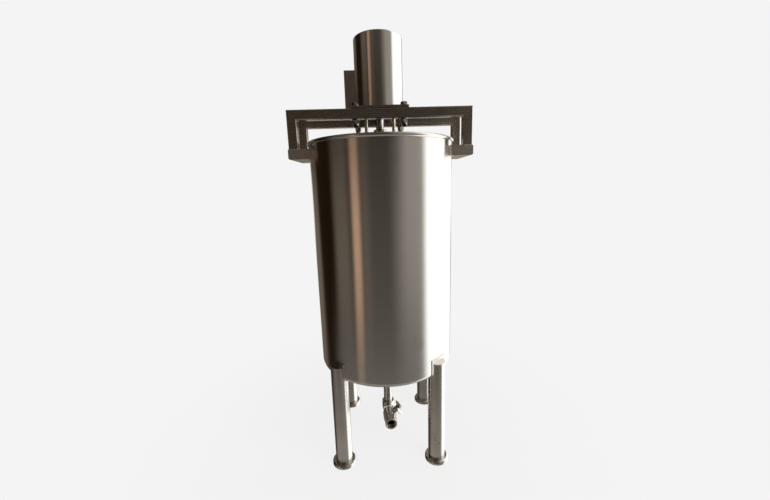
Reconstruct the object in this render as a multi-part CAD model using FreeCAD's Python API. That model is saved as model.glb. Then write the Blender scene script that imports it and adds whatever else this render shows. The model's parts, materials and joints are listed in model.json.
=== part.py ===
"""Blending tank: an open stainless vessel on four tube legs, with a bridge over its mouth that
carries a covered motor and a high-shear mixing head, and a ball valve at its bottom outlet.

Millimetres. The origin is on the floor under the tank's axis, +Z is up and -Y is the front.
Each sub-part is written to parts/NAME.step.
"""
import FreeCAD, Part
import math
import os

V = FreeCAD.Vector
X_AXIS = V(1, 0, 0)
Y_AXIS = V(0, 1, 0)
Z_AXIS = V(0, 0, 1)

# Vessel
tank_bore = 500.0
tank_wall = 2.0
rim_height = 1160.0
bottom_height = 343.0
knuckle_radius = 18.0
bottom_slope = 12.0
bead_diameter = 13.0

# Legs and feet
leg_diameter = 60.3
leg_wall = 2.0
leg_inset = 8.6
leg_lap = 52.0
leg_cap = 3.0
leg_count = 4
first_leg_angle = 45.0
pad_thickness = 3.0
pad_margin = 7.0
pad_rise = 15.0
foot_diameter = 85.0
foot_height = 14.0
foot_floor = 4.0
foot_top_round = 6.0
foot_bottom_round = 1.5
foot_screw_diameter = 6.0
foot_screw_height = 8.0
foot_screw_sunk = 1.5

# Ears and bridge
ear_drop = 59.0
ear_height = 33.0
ear_wall = 3.0
ear_round = 5.0
ear_overhang = 3.0
bridge_reach = 53.0
bridge_depth = 198.0
bridge_rise = 97.0
tube_side = 31.75
tube_wall = 2.0
tube_corner = 3.5

# Motor plate and its bolts
plate_width = 194.0
plate_thickness = 8.0
plate_corner = 4.0
bolt_diameter = 14.0
bolt_hole_clearance = 0.5
bolt_spacing = 160.0
bolt_head_width = 21.0
bolt_head_height = 8.8
nut_width = 21.0
nut_height = 12.0
dome_nut_height = 25.0
dome_width = 19.32
bolt_turn = 15.0
washer_diameter = 28.0
washer_thickness = 2.5

# Motor cover
cover_diameter = 165.4
cover_height = 230.0
cover_wall = 2.0
cover_round = 5.0
cover_lip = 10.0
cover_lip_thickness = 3.0
cover_screw_diameter = 5.0
cover_screw_angle = 35.0

# Cap screws, as shares of their thread
cap_head_share = 1.7
cap_height_share = 0.6

# Motor
motor_flange_diameter = 120.0
motor_flange_thickness = 10.0
motor_spigot_diameter = 80.0
motor_spigot_depth = 3.0
motor_screw_diameter = 6.0
motor_screw_circle = 100.0
housing_diameter = 128.0
housing_bore = 84.0
housing_length = 128.0
housing_rib_count = 20
housing_rib_height = 4.0
housing_rib_width = 3.0
end_shield_thickness = 16.0
lower_shield_height = 26.0
bearing_outer = 62.0
bearing_bore = 30.0
bearing_width = 16.0
bearing_seat_wall = 4.0
bearing_shield_width = 9.0
bearing_shield_depth = 0.6
shaft_passage = 2.0
air_gap = 0.6
rotor_core_length = 90.0
fan_diameter = 118.0
fan_height = 20.0
fan_blade_count = 8
fan_blade_thickness = 3.0
fan_lift = 4.0
fan_seat_diameter = 22.0
fan_hub_wall = 7.0
fan_disc = 3.0
fan_blade_inset = 2.0

# Mixer drive
shaft_diameter = 28.0
running_fit = 0.08
coupling_diameter = 45.0
coupling_length = 80.0
coupling_drop = 55.0
coupling_round = 3.0
coupling_screw_diameter = 8.0
coupling_screw_sunk = 1.0
shaft_joint_gap = 1.0

# Mixing head
rod_diameter = 12.0
rod_circle_radius = 55.0
rod_count = 3
first_rod_angle = 90.0
rod_end_diameter = 8.0
rod_stud_end = 2.0
steady_drop = 427.0
steady_thickness = 8.0
steady_rim = 11.0
head_lift = 152.0
head_plate_thickness = 10.0
head_plate_diameter = 132.0
head_plate_round = 2.0
bush_wall = 6.0
bush_length = 24.0
bush_collar = 4.0
bush_collar_width = 3.0
screen_diameter = 90.0
screen_wall = 3.0
screen_height = 50.0
screen_flange = 4.0
slot_count = 20
slot_width = 4.5
slot_height = 34.0
head_nut_width = 13.0
head_nut_height = 6.5
rotor_gap = 0.5
rotor_hub_diameter = 36.0
rotor_height = 40.0
rotor_blade_count = 4
rotor_blade_thickness = 4.0
rotor_lift = 5.0
rotor_seat_diameter = 20.0
rotor_thread_diameter = 16.0
rotor_blade_offset = 9.9
rotor_nut_width = 30.0
rotor_nut_height = 13.0

# Junction box
box_left = 127.0
box_drop = 17.0
box_width = 130.0
box_depth = 60.0
box_height = 191.0
box_mount_diameter = 6.0
box_wall = 2.0
box_lid_overlap = 4.0
box_lid_thickness = 2.0
box_tab = 12.0
box_screw_diameter = 4.0
gland_width = 24.0
gland_bore = 10.0
gland_length = 26.0
gland_thread = 20.0
gland_spacing = 38.4
gland_cap_width = 22.08
gland_cap_round = 4.0
gland_lock_height = 4.0
gland_thread_end = 1.0

# Outlet
outlet_diameter = 33.7
outlet_wall = 2.0
outlet_height = 100.0
outlet_turn = 4.2
elbow_reach = 29.0
elbow_socket_width = 48.6
elbow_socket_round = 1.5
elbow_leg_width = 43.0
elbow_socket_depth = 11.0

# Ball valve on the outlet
valve_roll = 46.0
valve_length = 85.0
socket_depth = 9.0
valve_bore = 25.0
valve_stem_lead = 32.0
valve_body_diameter = 51.5
valve_neck_diameter = 46.6
valve_neck_length = 32.0
valve_body_round = 3.0
valve_neck_round = 2.0
valve_thread_bore = 33.25
valve_thread_depth = 18.0
valve_mouth_chamfer = 1.5
tail_width = 46.0
tail_length = 12.0
tail_round_width = 51.5
ball_diameter = 38.0
ball_gap = 0.3
seat_width = 6.0
stem_diameter = 10.0
stem_end = 2.0
tang_width = 6.0
tang_depth = 4.0
boss_diameter = 22.0
boss_height = 40.0
gland_nut_width = 19.0
gland_nut_height = 8.0
handle_gap = 0.6
handle_thickness = 3.0
handle_span = 74.0
handle_width = 20.0
handle_hub_width = 24.0
wing_length = 18.0
wing_drop = 8.0
wing_corner = 8.0
wing_knee = 4.0
handle_nut_width = 16.0
handle_nut_height = 6.0

# Hexagon corners turned off at both ends of a head or nut
nut_face_share = 0.95
nut_chamfer_angle = 30.0

# Sizes that follow from the ones above
tank_radius = tank_bore / 2 + tank_wall
leg_circle_radius = tank_radius - leg_inset
leg_top = bottom_height + leg_lap
shell_top = rim_height - bead_diameter / 2
knuckle_centre_r = tank_radius - knuckle_radius
knuckle_centre_z = bottom_height + knuckle_radius
slope = math.radians(bottom_slope)
ear_bottom = rim_height - ear_drop
ear_top = ear_bottom + ear_height
bridge_width = 2 * (tank_radius + bridge_reach)
bridge_top = rim_height + bridge_rise
post_x = bridge_width / 2 - tube_side / 2
rail_y = bridge_depth / 2 - tube_side / 2
rail_z = bridge_top - tube_side / 2
rail_underside = bridge_top - tube_side
plate_top = bridge_top + plate_thickness
outlet_radius = outlet_diameter / 2
pipe_bore_radius = outlet_radius - outlet_wall
valve_start = elbow_reach
valve_end = valve_start + valve_length
valve_stem_place = valve_start + valve_stem_lead
tail_joint = valve_start + tail_length
rotor_core_diameter = housing_bore - 2 * air_gap
housing_bottom = plate_top + lower_shield_height
housing_top = housing_bottom + housing_length
shield_top = housing_top + end_shield_thickness
lower_bearing_z = plate_top + motor_flange_thickness - bearing_width / 2
coupling_top = bridge_top - coupling_drop
shaft_joint_z = coupling_top - coupling_length / 2
steady_height = bridge_top - steady_drop
head_plate_top = bottom_height + head_lift
screen_top = head_plate_top - head_plate_thickness
screen_bottom = screen_top - screen_flange - screen_height
rotor_bottom = screen_bottom + rotor_lift
rod_nut_top = screen_top - screen_flange
box_front = bridge_depth / 2
box_bottom = bridge_top - box_drop
box_mount_height = (box_bottom + bridge_top) / 2


def ring_points(count, radius, first_angle):
    """Places evenly round a circle about the tank's axis."""
    angles = [math.radians(first_angle + i * 360.0 / count) for i in range(count)]
    return [V(radius * math.cos(a), radius * math.sin(a), 0) for a in angles]


def rod(radius, z0, z1, at=V(0, 0, 0)):
    """Upright solid cylinder from z0 to z1."""
    return Part.makeCylinder(radius, z1 - z0, V(at.x, at.y, z0), Z_AXIS)


def ring(outer, inner, z0, z1, at=V(0, 0, 0)):
    """Upright tube or washer, by its two radii."""
    return rod(outer, z0, z1, at).cut(rod(inner, z0, z1, at))


def block(x0, x1, y0, y1, z0, z1):
    """Box between two opposite corners."""
    return Part.makeBox(x1 - x0, y1 - y0, z1 - z0, V(x0, y0, z0))


def hexagon(width, z0, z1, at=V(0, 0, 0), turn=0.0):
    """Hexagonal bar, by its width across the flats."""
    corner = width / math.sqrt(3)
    angles = [math.radians(turn + 60 * i) for i in range(7)]
    points = [V(at.x + corner * math.cos(a), at.y + corner * math.sin(a), z0) for a in angles]
    return Part.Face(Part.makePolygon(points)).extrude(V(0, 0, z1 - z0))


def nut_blank(width, z0, z1, at=V(0, 0, 0), turn=0.0):
    """Hexagon whose corners are turned off at both ends."""
    face = width / 2 * nut_face_share
    reach = width
    drop = (reach - face) * math.tan(math.radians(nut_chamfer_angle))
    points = [(0, z0), (face, z0), (reach, z0 + drop), (reach, z1 - drop), (face, z1), (0, z1)]
    if z1 - z0 < 2 * drop:
        reach = face + (z1 - z0) / 2 / math.tan(math.radians(nut_chamfer_angle))
        points = [(0, z0), (face, z0), (reach, (z0 + z1) / 2), (face, z1), (0, z1)]
    turned = revolved([line(a, b) for a, b in zip(points, points[1:] + points[:1])])
    turned.translate(at)
    return hexagon(width, z0, z1, at, turn).common(turned)


def revolved(edges):
    """Solid turned about the Z axis from a closed outline in the XZ plane."""
    wire = Part.Wire(Part.sortEdges(edges)[0])
    return Part.Face(wire).revolve(V(0, 0, 0), Z_AXIS, 360)


def line(a, b):
    return Part.LineSegment(V(a[0], 0, a[1]), V(b[0], 0, b[1])).toShape()


def round_edges(solid, radius, wanted):
    """Fillet every edge for which wanted(edge) is true."""
    return solid.makeFillet(radius, [e for e in solid.Edges if wanted(e)])


def upright(edge):
    ends = [v.Point for v in edge.Vertexes]
    return len(ends) == 2 and (ends[0] - ends[1]).cross(Z_AXIS).Length < 1e-6


def along(edge, axis):
    ends = [v.Point for v in edge.Vertexes]
    return len(ends) == 2 and (ends[0] - ends[1]).cross(axis).Length < 1e-6


def at_height(z):
    """Test for a level edge at the height z."""
    def test(edge):
        box = edge.BoundBox
        return abs(box.ZMin - z) < 1e-6 and abs(box.ZMax - z) < 1e-6
    return test


def save(name, *solids):
    """Write one node, as one solid or as a group of separate ones."""
    shape = solids[0] if len(solids) == 1 else Part.makeCompound(list(solids))
    shape.exportStep("parts/" + name + ".step")


def cone_height(radius, offset):
    """Height of the bottom cone at a radius, offset outwards from the shell's outer face."""
    start_r = knuckle_centre_r + (knuckle_radius + offset) * math.sin(slope)
    start_z = knuckle_centre_z - (knuckle_radius + offset) * math.cos(slope)
    return start_z - (start_r - radius) * math.tan(slope)


def knuckle(offset):
    """The rounded corner between wall and cone: its low end, middle and top."""
    radius = knuckle_radius + offset
    points = []
    for angle in (slope - math.pi / 2, slope / 2 - math.pi / 4, 0.0):
        points.append((knuckle_centre_r + radius * math.cos(angle),
                       knuckle_centre_z + radius * math.sin(angle)))
    return points


def arc(low, middle, high):
    spots = [V(r, 0, z) for r, z in (low, middle, high)]
    return Part.Arc(*spots).toShape()


def shell_side(offset, top, hole=0.0):
    """Edges of the shell's profile from the bottom's centre or hole to the top of the wall."""
    low, middle, high = knuckle(offset)
    start = (hole, cone_height(hole, offset))
    end = (high[0], top)
    return [line(start, low), arc(low, middle, high), line(high, end)], start, end


def vessel_block(offset):
    """The space inside the shell's outer face, grown by offset, as one solid."""
    edges, start, end = shell_side(offset, rim_height)
    edges += [line(end, (0, rim_height)), line((0, rim_height), start)]
    return revolved(edges)


def tank_shell():
    outside, outer_start, outer_end = shell_side(0.0, shell_top, outlet_radius)
    inside, inner_start, inner_end = shell_side(-tank_wall, shell_top, outlet_radius)
    return revolved(outside + inside + [line(outer_end, inner_end), line(outer_start, inner_start)])


def rim_bead():
    """Round bar slotted from below and slipped over the shell's top edge."""
    middle = tank_radius - tank_wall / 2
    bar = Part.makeTorus(middle, bead_diameter / 2, V(0, 0, shell_top), Z_AXIS)
    return bar.cut(ring(tank_radius, tank_radius - tank_wall, rim_height - bead_diameter, shell_top))


def leg(spot, vessel):
    """Tube with a closed top, coped round the pad on the shell."""
    radius = leg_diameter / 2
    tube = rod(radius, foot_floor, leg_top, spot)
    hollow = rod(radius - leg_wall, foot_floor, leg_top - leg_cap, spot)
    return tube.cut(hollow).cut(vessel)


def leg_pad(spot, vessel, grown):
    """Reinforcing plate that wraps the wall and the knuckle behind one leg."""
    patch = rod(leg_diameter / 2 + pad_margin, 0, leg_top + pad_rise, spot)
    return grown.cut(vessel).common(patch)


def foot(spot):
    """Round foot with a socket for the leg and a cross hole for its set screw."""
    disc = rod(foot_diameter / 2, 0, foot_height, spot)
    disc = round_edges(disc, foot_top_round, at_height(foot_height))
    disc = round_edges(disc, foot_bottom_round, at_height(0))
    socket = rod(leg_diameter / 2, foot_floor, foot_height, spot)
    return disc.cut(socket).cut(foot_screw_hole(spot))


def foot_screw_hole(spot):
    start = V(spot.x, spot.y - foot_diameter / 2, foot_screw_height)
    length = foot_diameter / 2 - leg_diameter / 2
    bore = Part.makeCylinder(foot_screw_diameter / 2, length + leg_wall, start, Y_AXIS)
    return bore.cut(rod(leg_diameter / 2, 0, foot_height, spot))


def foot_screw(spot):
    """Grub screw with a hexagon socket, sunk in the foot and bearing on the leg."""
    sunk = foot_screw_sunk
    key = hexagon(foot_screw_diameter / 2, 0, foot_screw_diameter / 2)
    key.rotate(V(0, 0, 0), X_AXIS, -90)
    key.translate(V(spot.x, spot.y - foot_diameter / 2 + sunk, foot_screw_height))
    cover = block(spot.x - foot_diameter, spot.x + foot_diameter, spot.y - foot_diameter,
                  spot.y - foot_diameter / 2 + sunk, 0, foot_height)
    return foot_screw_hole(spot).cut(cover).cut(key)


def ear(side, vessel):
    """Folded box beside the rim, open towards the wall that closes it; the posts stand on it."""
    outer_x = bridge_width / 2 + ear_overhang
    half = bridge_depth / 2
    body = block(0, outer_x, -half, half, ear_bottom, ear_top)
    body = round_edges(body, ear_round, lambda e: along(e, Y_AXIS) and e.Vertexes[0].X > 1)
    hollow = block(0, outer_x - ear_wall, ear_wall - half, half - ear_wall,
                   ear_bottom + ear_wall, ear_top - ear_wall)
    body = body.cut(hollow).cut(vessel)
    if side < 0:
        body = body.mirror(V(0, 0, 0), X_AXIS)
    return body


def square_tube(length):
    """Square tube along Z from the origin, centred on it."""
    half = tube_side / 2
    outer = block(-half, half, -half, half, 0, length)
    outer = round_edges(outer, tube_corner, upright)
    inner_half = half - tube_wall
    inner = block(-inner_half, inner_half, -inner_half, inner_half, 0, length)
    inner = round_edges(inner, tube_corner - tube_wall, upright)
    return outer.cut(inner)


def mitre(side):
    """Everything on the rail's side of the 45 degree joint at one top corner of the bridge."""
    corner = V(side * bridge_width / 2, -bridge_depth, bridge_top)
    reach = bridge_width
    points = [corner, corner + V(-side * reach, 0, 0), corner + V(-side * reach, 0, -reach), corner]
    return Part.Face(Part.makePolygon(points)).extrude(V(0, 2 * bridge_depth, 0))


def post(side, y):
    tube = square_tube(bridge_top - ear_top)
    tube.translate(V(side * post_x, y, ear_top))
    return tube.cut(mitre_above(side))


def mitre_above(side):
    """Everything above the 45 degree joint at one top corner of the bridge."""
    corner = V(side * bridge_width / 2, -bridge_depth, bridge_top)
    inner = corner + V(-side * 2 * tube_side, 0, -2 * tube_side)
    points = [corner, inner, inner + V(0, 0, 4 * tube_side), corner]
    return Part.Face(Part.makePolygon(points)).extrude(V(0, 2 * bridge_depth, 0))


def rail(y):
    """Bridge tube with mitred ends, the holes for the plate's bolts and, behind, for the box."""
    tube = square_tube(bridge_width)
    tube.rotate(V(0, 0, 0), Y_AXIS, 90)
    tube.translate(V(-bridge_width / 2, y, rail_z))
    tube = tube.common(mitre(1)).common(mitre(-1))
    for x in (-bolt_spacing / 2, bolt_spacing / 2):
        hole = rod(bolt_diameter / 2 + bolt_hole_clearance, rail_underside, bridge_top, V(x, y, 0))
        tube = tube.cut(hole)
    if y > 0:
        for x in box_mount_places():
            tube = tube.cut(bore_y(box_mount_diameter / 2, x, box_mount_height,
                                   box_front - tube_wall, box_front))
    return tube


def bolt_spots():
    xs = (-bolt_spacing / 2, bolt_spacing / 2)
    return [V(x, y, 0) for y in (-rail_y, rail_y) for x in xs]


def motor_plate(rods):
    """Flat plate across both rails, bored for the motor, its screws, the rods and the cover."""
    plate = block(-plate_width / 2, plate_width / 2, -bridge_depth / 2, bridge_depth / 2,
                  bridge_top, plate_top)
    plate = round_edges(plate, plate_corner, upright)
    plate = plate.cut(rod(motor_spigot_diameter / 2, bridge_top, plate_top))
    for spot in bolt_spots():
        plate = plate.cut(rod(bolt_diameter / 2 + bolt_hole_clearance, bridge_top, plate_top, spot))
    for spot in rods:
        plate = plate.cut(rod(rod_end_diameter / 2, bridge_top, plate_top, spot))
    for spot in motor_screw_spots():
        plate = plate.cut(rod(motor_screw_diameter / 2, bridge_top, plate_top, spot))
    for spot in cover_screw_spots():
        plate = plate.cut(rod(cover_screw_diameter / 2, bridge_top, plate_top, spot))
    return plate


def plate_bolt(spot):
    """Hexagon bolt down through the plate and the rail, into its dome nut."""
    head_bottom = plate_top + washer_thickness
    head = nut_blank(bolt_head_width, head_bottom, head_bottom + bolt_head_height, spot, bolt_turn)
    tip = rail_underside - washer_thickness - nut_height
    return head.fuse(rod(bolt_diameter / 2, tip, head_bottom, spot)).removeSplitter()


def plate_washers(spot):
    hole = bolt_diameter / 2 + bolt_hole_clearance / 2
    over = ring(washer_diameter / 2, hole, plate_top, plate_top + washer_thickness, spot)
    under = ring(washer_diameter / 2, hole, rail_underside - washer_thickness, rail_underside, spot)
    return [over, under]


def dome_nut(spot):
    """Hexagon nut closed by a dome below."""
    top = rail_underside - washer_thickness
    bottom = top - nut_height
    dome_radius = dome_width / 2
    dome_height = dome_nut_height - nut_height
    body = nut_blank(nut_width, bottom, top, spot, bolt_turn)
    sphere_radius = (dome_radius ** 2 + dome_height ** 2) / (2 * dome_height)
    ball = Part.makeSphere(sphere_radius, V(spot.x, spot.y, bottom - dome_height + sphere_radius))
    dome = ball.common(rod(dome_radius, bottom - dome_height, bottom, spot))
    return body.fuse(dome).cut(rod(bolt_diameter / 2, bottom, top, spot)).removeSplitter()


def motor_cover():
    """Drawn can with a rounded top edge and an inner lip that lies on the plate."""
    radius = cover_diameter / 2
    top = plate_top + cover_height
    can = round_edges(rod(radius, plate_top, top), cover_round, at_height(top))
    inner = rod(radius - cover_wall, plate_top + cover_lip_thickness, top - cover_wall)
    inner = round_edges(inner, cover_round - cover_wall, at_height(top - cover_wall))
    mouth = rod(radius - cover_wall - cover_lip, plate_top, top - 2 * cover_wall)
    cover = can.cut(inner).cut(mouth)
    for spot in cover_screw_spots():
        cover = cover.cut(rod(cover_screw_diameter / 2, plate_top,
                              plate_top + cover_lip_thickness, spot))
    return cover


def cover_screw_spots():
    radius = cover_diameter / 2 - cover_wall - cover_lip / 2
    angles = [math.radians(a + s * cover_screw_angle) for a in (0, 180) for s in (-1, 1)]
    return [V(radius * math.cos(a), radius * math.sin(a), 0) for a in angles]


def cap_screw(spot, diameter, top):
    """Cap screw driven up from under the plate, its head below the plate."""
    head_radius = diameter / 2 * cap_head_share
    head = rod(head_radius, bridge_top - diameter * cap_height_share, bridge_top, spot)
    return head.fuse(rod(diameter / 2, bridge_top, top, spot)).removeSplitter()


def motor_screw_spots():
    return ring_points(4, motor_screw_circle / 2, 45)


def motor_flange():
    """Lower end shield: spigot, mounting flange and the seat of the lower bearing."""
    hub = bearing_outer / 2
    top = housing_bottom
    flange_top = plate_top + motor_flange_thickness
    body = rod(motor_flange_diameter / 2, plate_top, flange_top)
    body = body.fuse(rod(motor_spigot_diameter / 2, plate_top - motor_spigot_depth, plate_top))
    body = body.fuse(ring(housing_diameter / 2, housing_bore / 2, flange_top, top))
    body = body.fuse(rod(hub + bearing_seat_wall, flange_top, lower_bearing_z + bearing_width))
    body = body.cut(rod(hub, lower_bearing_z, top))
    passage = (bearing_bore + shaft_passage) / 2
    body = body.cut(rod(passage, plate_top - motor_spigot_depth, top))
    for spot in motor_screw_spots():
        body = body.cut(rod(motor_screw_diameter / 2, plate_top, flange_top, spot))
    return body.removeSplitter()


def motor_housing():
    """Ribbed motor frame with the wound core pressed into it."""
    body = ring(housing_diameter / 2, housing_bore / 2, housing_bottom, housing_top)
    reach = housing_diameter / 2 + housing_rib_height
    half = housing_rib_width / 2
    bore = rod(housing_diameter / 2, housing_bottom, housing_top)
    for i in range(housing_rib_count):
        rib = block(housing_diameter / 2 - 2, reach, -half, half, housing_bottom, housing_top)
        rib.rotate(V(0, 0, 0), Z_AXIS, i * 360.0 / housing_rib_count)
        body = body.fuse(rib.cut(bore))
    return body.removeSplitter()


def motor_end_shield():
    """Upper end shield with the seat of the upper bearing."""
    body = rod(housing_diameter / 2, housing_top, shield_top)
    body = body.cut(rod(bearing_outer / 2, housing_top, housing_top + bearing_width))
    return body.cut(rod((bearing_bore + shaft_passage) / 2, housing_top, shield_top))


def bearing(z0):
    """Ball bearing as one ring, with the shallow groove of its shields on both faces."""
    inner = bearing_bore / 2 + running_fit
    middle = (bearing_outer / 2 + inner) / 2
    depth = bearing_shield_depth
    half = bearing_shield_width / 2
    body = ring(bearing_outer / 2, inner, z0, z0 + bearing_width)
    for low in (z0, z0 + bearing_width - depth):
        body = body.cut(ring(middle + half, middle - half, low, low + depth))
    return body


def motor_shaft():
    """Stepped shaft: fan end, bearing seats, and a long output end down to the coupling."""
    seat = bearing_bore / 2
    low = shaft_joint_z + shaft_joint_gap / 2
    top = shield_top + fan_lift + fan_height
    shaft = rod(shaft_diameter / 2, low, lower_bearing_z)
    shaft = shaft.fuse(rod(seat, lower_bearing_z, shield_top))
    return shaft.fuse(rod(fan_seat_diameter / 2, shield_top, top)).removeSplitter()


def rotor_core():
    middle = (housing_bottom + housing_top) / 2
    half = rotor_core_length / 2
    return ring(rotor_core_diameter / 2, bearing_bore / 2, middle - half, middle + half)


def cooling_fan():
    """Radial fan: hub, back disc and straight blades."""
    low = shield_top + fan_lift
    seat = fan_seat_diameter / 2
    hub = seat + fan_hub_wall
    disc = fan_disc
    fan = rod(fan_diameter / 2, low, low + disc).fuse(rod(hub, low, low + fan_height))
    for i in range(fan_blade_count):
        blade = block(seat, fan_diameter / 2 - fan_blade_inset, -fan_blade_thickness / 2,
                      fan_blade_thickness / 2, low + disc, low + fan_height)
        blade.rotate(V(0, 0, 0), Z_AXIS, i * 360.0 / fan_blade_count)
        fan = fan.fuse(blade)
    return fan.cut(rod(seat, low, low + fan_height)).removeSplitter()


def shaft_coupling():
    """Rigid sleeve with rounded ends that joins the motor's shaft to the mixer's."""
    low = coupling_top - coupling_length
    body = rod(coupling_diameter / 2, low, coupling_top)
    body = round_edges(body, coupling_round, at_height(coupling_top))
    body = round_edges(body, coupling_round, at_height(low))
    body = body.cut(rod(shaft_diameter / 2, low, coupling_top))
    for z in coupling_screw_heights():
        body = body.cut(coupling_screw_hole(z))
    return body


def coupling_screw_heights():
    return (shaft_joint_z - coupling_length / 4, shaft_joint_z + coupling_length / 4)


def coupling_screw_hole(z):
    bore = Part.makeCylinder(coupling_screw_diameter / 2, coupling_diameter / 2, V(0, 0, z), Y_AXIS)
    return bore.cut(rod(shaft_diameter / 2, 0, bridge_top))


def coupling_screw(z):
    """Grub screw with a hexagon socket, flush in the coupling."""
    sunk = coupling_diameter / 2 - coupling_screw_sunk
    screw = coupling_screw_hole(z).cut(block(-shaft_diameter, shaft_diameter, sunk,
                                             coupling_diameter, z - shaft_diameter, z + shaft_diameter))
    key = hexagon(coupling_screw_diameter / 2, 0, coupling_screw_diameter / 2)
    key.rotate(V(0, 0, 0), X_AXIS, 90)
    key.translate(V(0, sunk, z))
    return screw.cut(key)


def mixer_shaft():
    """Long shaft with a shouldered seat for the rotor and a threaded end."""
    top = shaft_joint_z - shaft_joint_gap / 2
    shoulder = rotor_bottom + rotor_height
    seat = rotor_seat_diameter / 2
    shaft = rod(shaft_diameter / 2, shoulder, top)
    shaft = shaft.fuse(rod(seat, rotor_bottom, shoulder))
    thread = rod(rotor_thread_diameter / 2, rotor_bottom - rotor_nut_height, rotor_bottom)
    return shaft.fuse(thread).removeSplitter()


def tie_rod(spot):
    """Rod screwed into the plate above, shouldered on the head below and ending in a stud."""
    main = rod(rod_diameter / 2, head_plate_top, bridge_top, spot)
    upper = rod(rod_end_diameter / 2, bridge_top, plate_top, spot)
    lower = rod(rod_end_diameter / 2, rod_nut_top - head_nut_height - rod_stud_end, head_plate_top, spot)
    return main.fuse([upper, lower]).removeSplitter()


def lobed_plate(z0, z1, rods):
    """Three-armed plate that follows the rods, rounded at each arm."""
    plate = rod(shaft_diameter / 2 + bush_wall + steady_rim, z0, z1)
    arm = rod_diameter / 2 + steady_rim
    for spot in rods:
        bar = block(0, rod_circle_radius, -arm, arm, z0, z1)
        bar.rotate(V(0, 0, 0), Z_AXIS, math.degrees(math.atan2(spot.y, spot.x)))
        plate = plate.fuse([bar, rod(arm, z0, z1, spot)])
    return plate


def steady_plate(rods):
    """Plate half way down that holds the rods and the upper bush."""
    top = steady_height + steady_thickness
    plate = lobed_plate(steady_height, top, rods)
    plate = plate.cut(rod(shaft_diameter / 2 + bush_wall, steady_height, top))
    for spot in rods:
        plate = plate.cut(rod(rod_diameter / 2, steady_height, top, spot))
    return plate.removeSplitter()


def head_plate(rods):
    """Top disc of the mixing head, on the shoulders of the rods."""
    low = head_plate_top - head_plate_thickness
    plate = rod(head_plate_diameter / 2, low, head_plate_top)
    plate = round_edges(plate, head_plate_round, at_height(head_plate_top))
    plate = plate.cut(rod(shaft_diameter / 2 + bush_wall, low, head_plate_top))
    for spot in rods:
        plate = plate.cut(rod(rod_end_diameter / 2, low, head_plate_top, spot))
    return plate


def bush(z0):
    """Plain bush round the shaft with a collar that lies on its plate; z0 is the plate's top."""
    inner = shaft_diameter / 2 + running_fit
    outer = shaft_diameter / 2 + bush_wall
    body = ring(outer, inner, z0 - bush_length / 2, z0)
    return body.fuse(ring(outer + bush_collar_width, inner, z0, z0 + bush_collar)).removeSplitter()


def stator_screen(rods):
    """Slotted cylinder under a flange that the rods' nuts clamp to the head plate."""
    outer = screen_diameter / 2
    inner = outer - screen_wall
    low = screen_bottom
    screen = ring(outer, inner, low, screen_top - screen_flange)
    flange = rod(head_plate_diameter / 2, screen_top - screen_flange, screen_top)
    flange = flange.cut(rod(inner, screen_top - screen_flange, screen_top))
    for spot in rods:
        flange = flange.cut(rod(rod_end_diameter / 2, screen_top - screen_flange, screen_top, spot))
    screen = screen.fuse(flange)
    slot_low = low + (screen_height - slot_height) / 2
    slots = []
    for i in range(slot_count):
        slot = block(inner - 2, outer + 2, -slot_width / 2, slot_width / 2,
                     slot_low, slot_low + slot_height)
        slot.rotate(V(0, 0, 0), Z_AXIS, (i + 0.5) * 360.0 / slot_count)
        slots.append(slot)
    return screen.cut(slots).removeSplitter()


def head_nut(spot):
    nut = nut_blank(head_nut_width, rod_nut_top - head_nut_height, rod_nut_top, spot)
    return nut.cut(rod(rod_end_diameter / 2, rod_nut_top - head_nut_height, rod_nut_top, spot))


def shear_rotor():
    """Hub with swept blades that pass close inside the screen."""
    reach = screen_diameter / 2 - screen_wall - rotor_gap
    hub = rotor_hub_diameter / 2
    top = rotor_bottom + rotor_height
    body = rod(hub, rotor_bottom, top)
    limit = rod(reach, rotor_bottom, top)
    for i in range(rotor_blade_count):
        blade = block(0, screen_diameter, rotor_blade_offset,
                      rotor_blade_offset + rotor_blade_thickness, rotor_bottom, top)
        blade.rotate(V(0, 0, 0), Z_AXIS, i * 360.0 / rotor_blade_count)
        body = body.fuse(blade.common(limit))
    return body.cut(rod(rotor_seat_diameter / 2, rotor_bottom, top)).removeSplitter()


def rotor_nut():
    nut = nut_blank(rotor_nut_width, rotor_bottom - rotor_nut_height, rotor_bottom)
    return nut.cut(rod(rotor_thread_diameter / 2, rotor_bottom - rotor_nut_height, rotor_bottom))


def junction_box():
    """Folded box on the back of the rear rail, open at the back, with tabs for its lid."""
    x0, x1 = -box_left, box_width - box_left
    y0, y1 = box_front, box_front + box_depth
    z0, z1 = box_bottom, box_bottom + box_height
    wall = box_wall
    body = block(x0, x1, y0, y1, z0, z1)
    body = body.cut(block(x0 + wall, x1 - wall, y0 + wall, y1, z0 + wall, z1 - wall))
    for x, z in box_corners():
        tab = block(x - box_tab / 2, x + box_tab / 2, y1 - wall, y1, z - box_tab / 2, z + box_tab / 2)
        body = body.fuse(tab).cut(bore_y(box_screw_diameter / 2, x, z, y1 - wall, y1))
    for spot in gland_spots():
        body = body.cut(bore_x(gland_thread / 2, spot, x1 - wall, x1))
    for x in box_mount_places():
        body = body.cut(bore_y(box_mount_diameter / 2, x, box_mount_height, y0, y0 + wall))
    return body.removeSplitter()


def bore_y(radius, x, z, y0, y1):
    """Level cylinder along Y, for a hole or a screw."""
    return Part.makeCylinder(radius, y1 - y0, V(x, y0, z), Y_AXIS)


def bore_x(radius, spot, x0, x1):
    """Level cylinder along X, for a hole or a gland."""
    return Part.makeCylinder(radius, x1 - x0, V(x0, spot.y, spot.z), X_AXIS)


def box_mount_places():
    """The two screws that hold the box to the rail, as x."""
    middle = box_width / 2 - box_left
    return (middle - box_width / 3, middle + box_width / 3)


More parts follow.
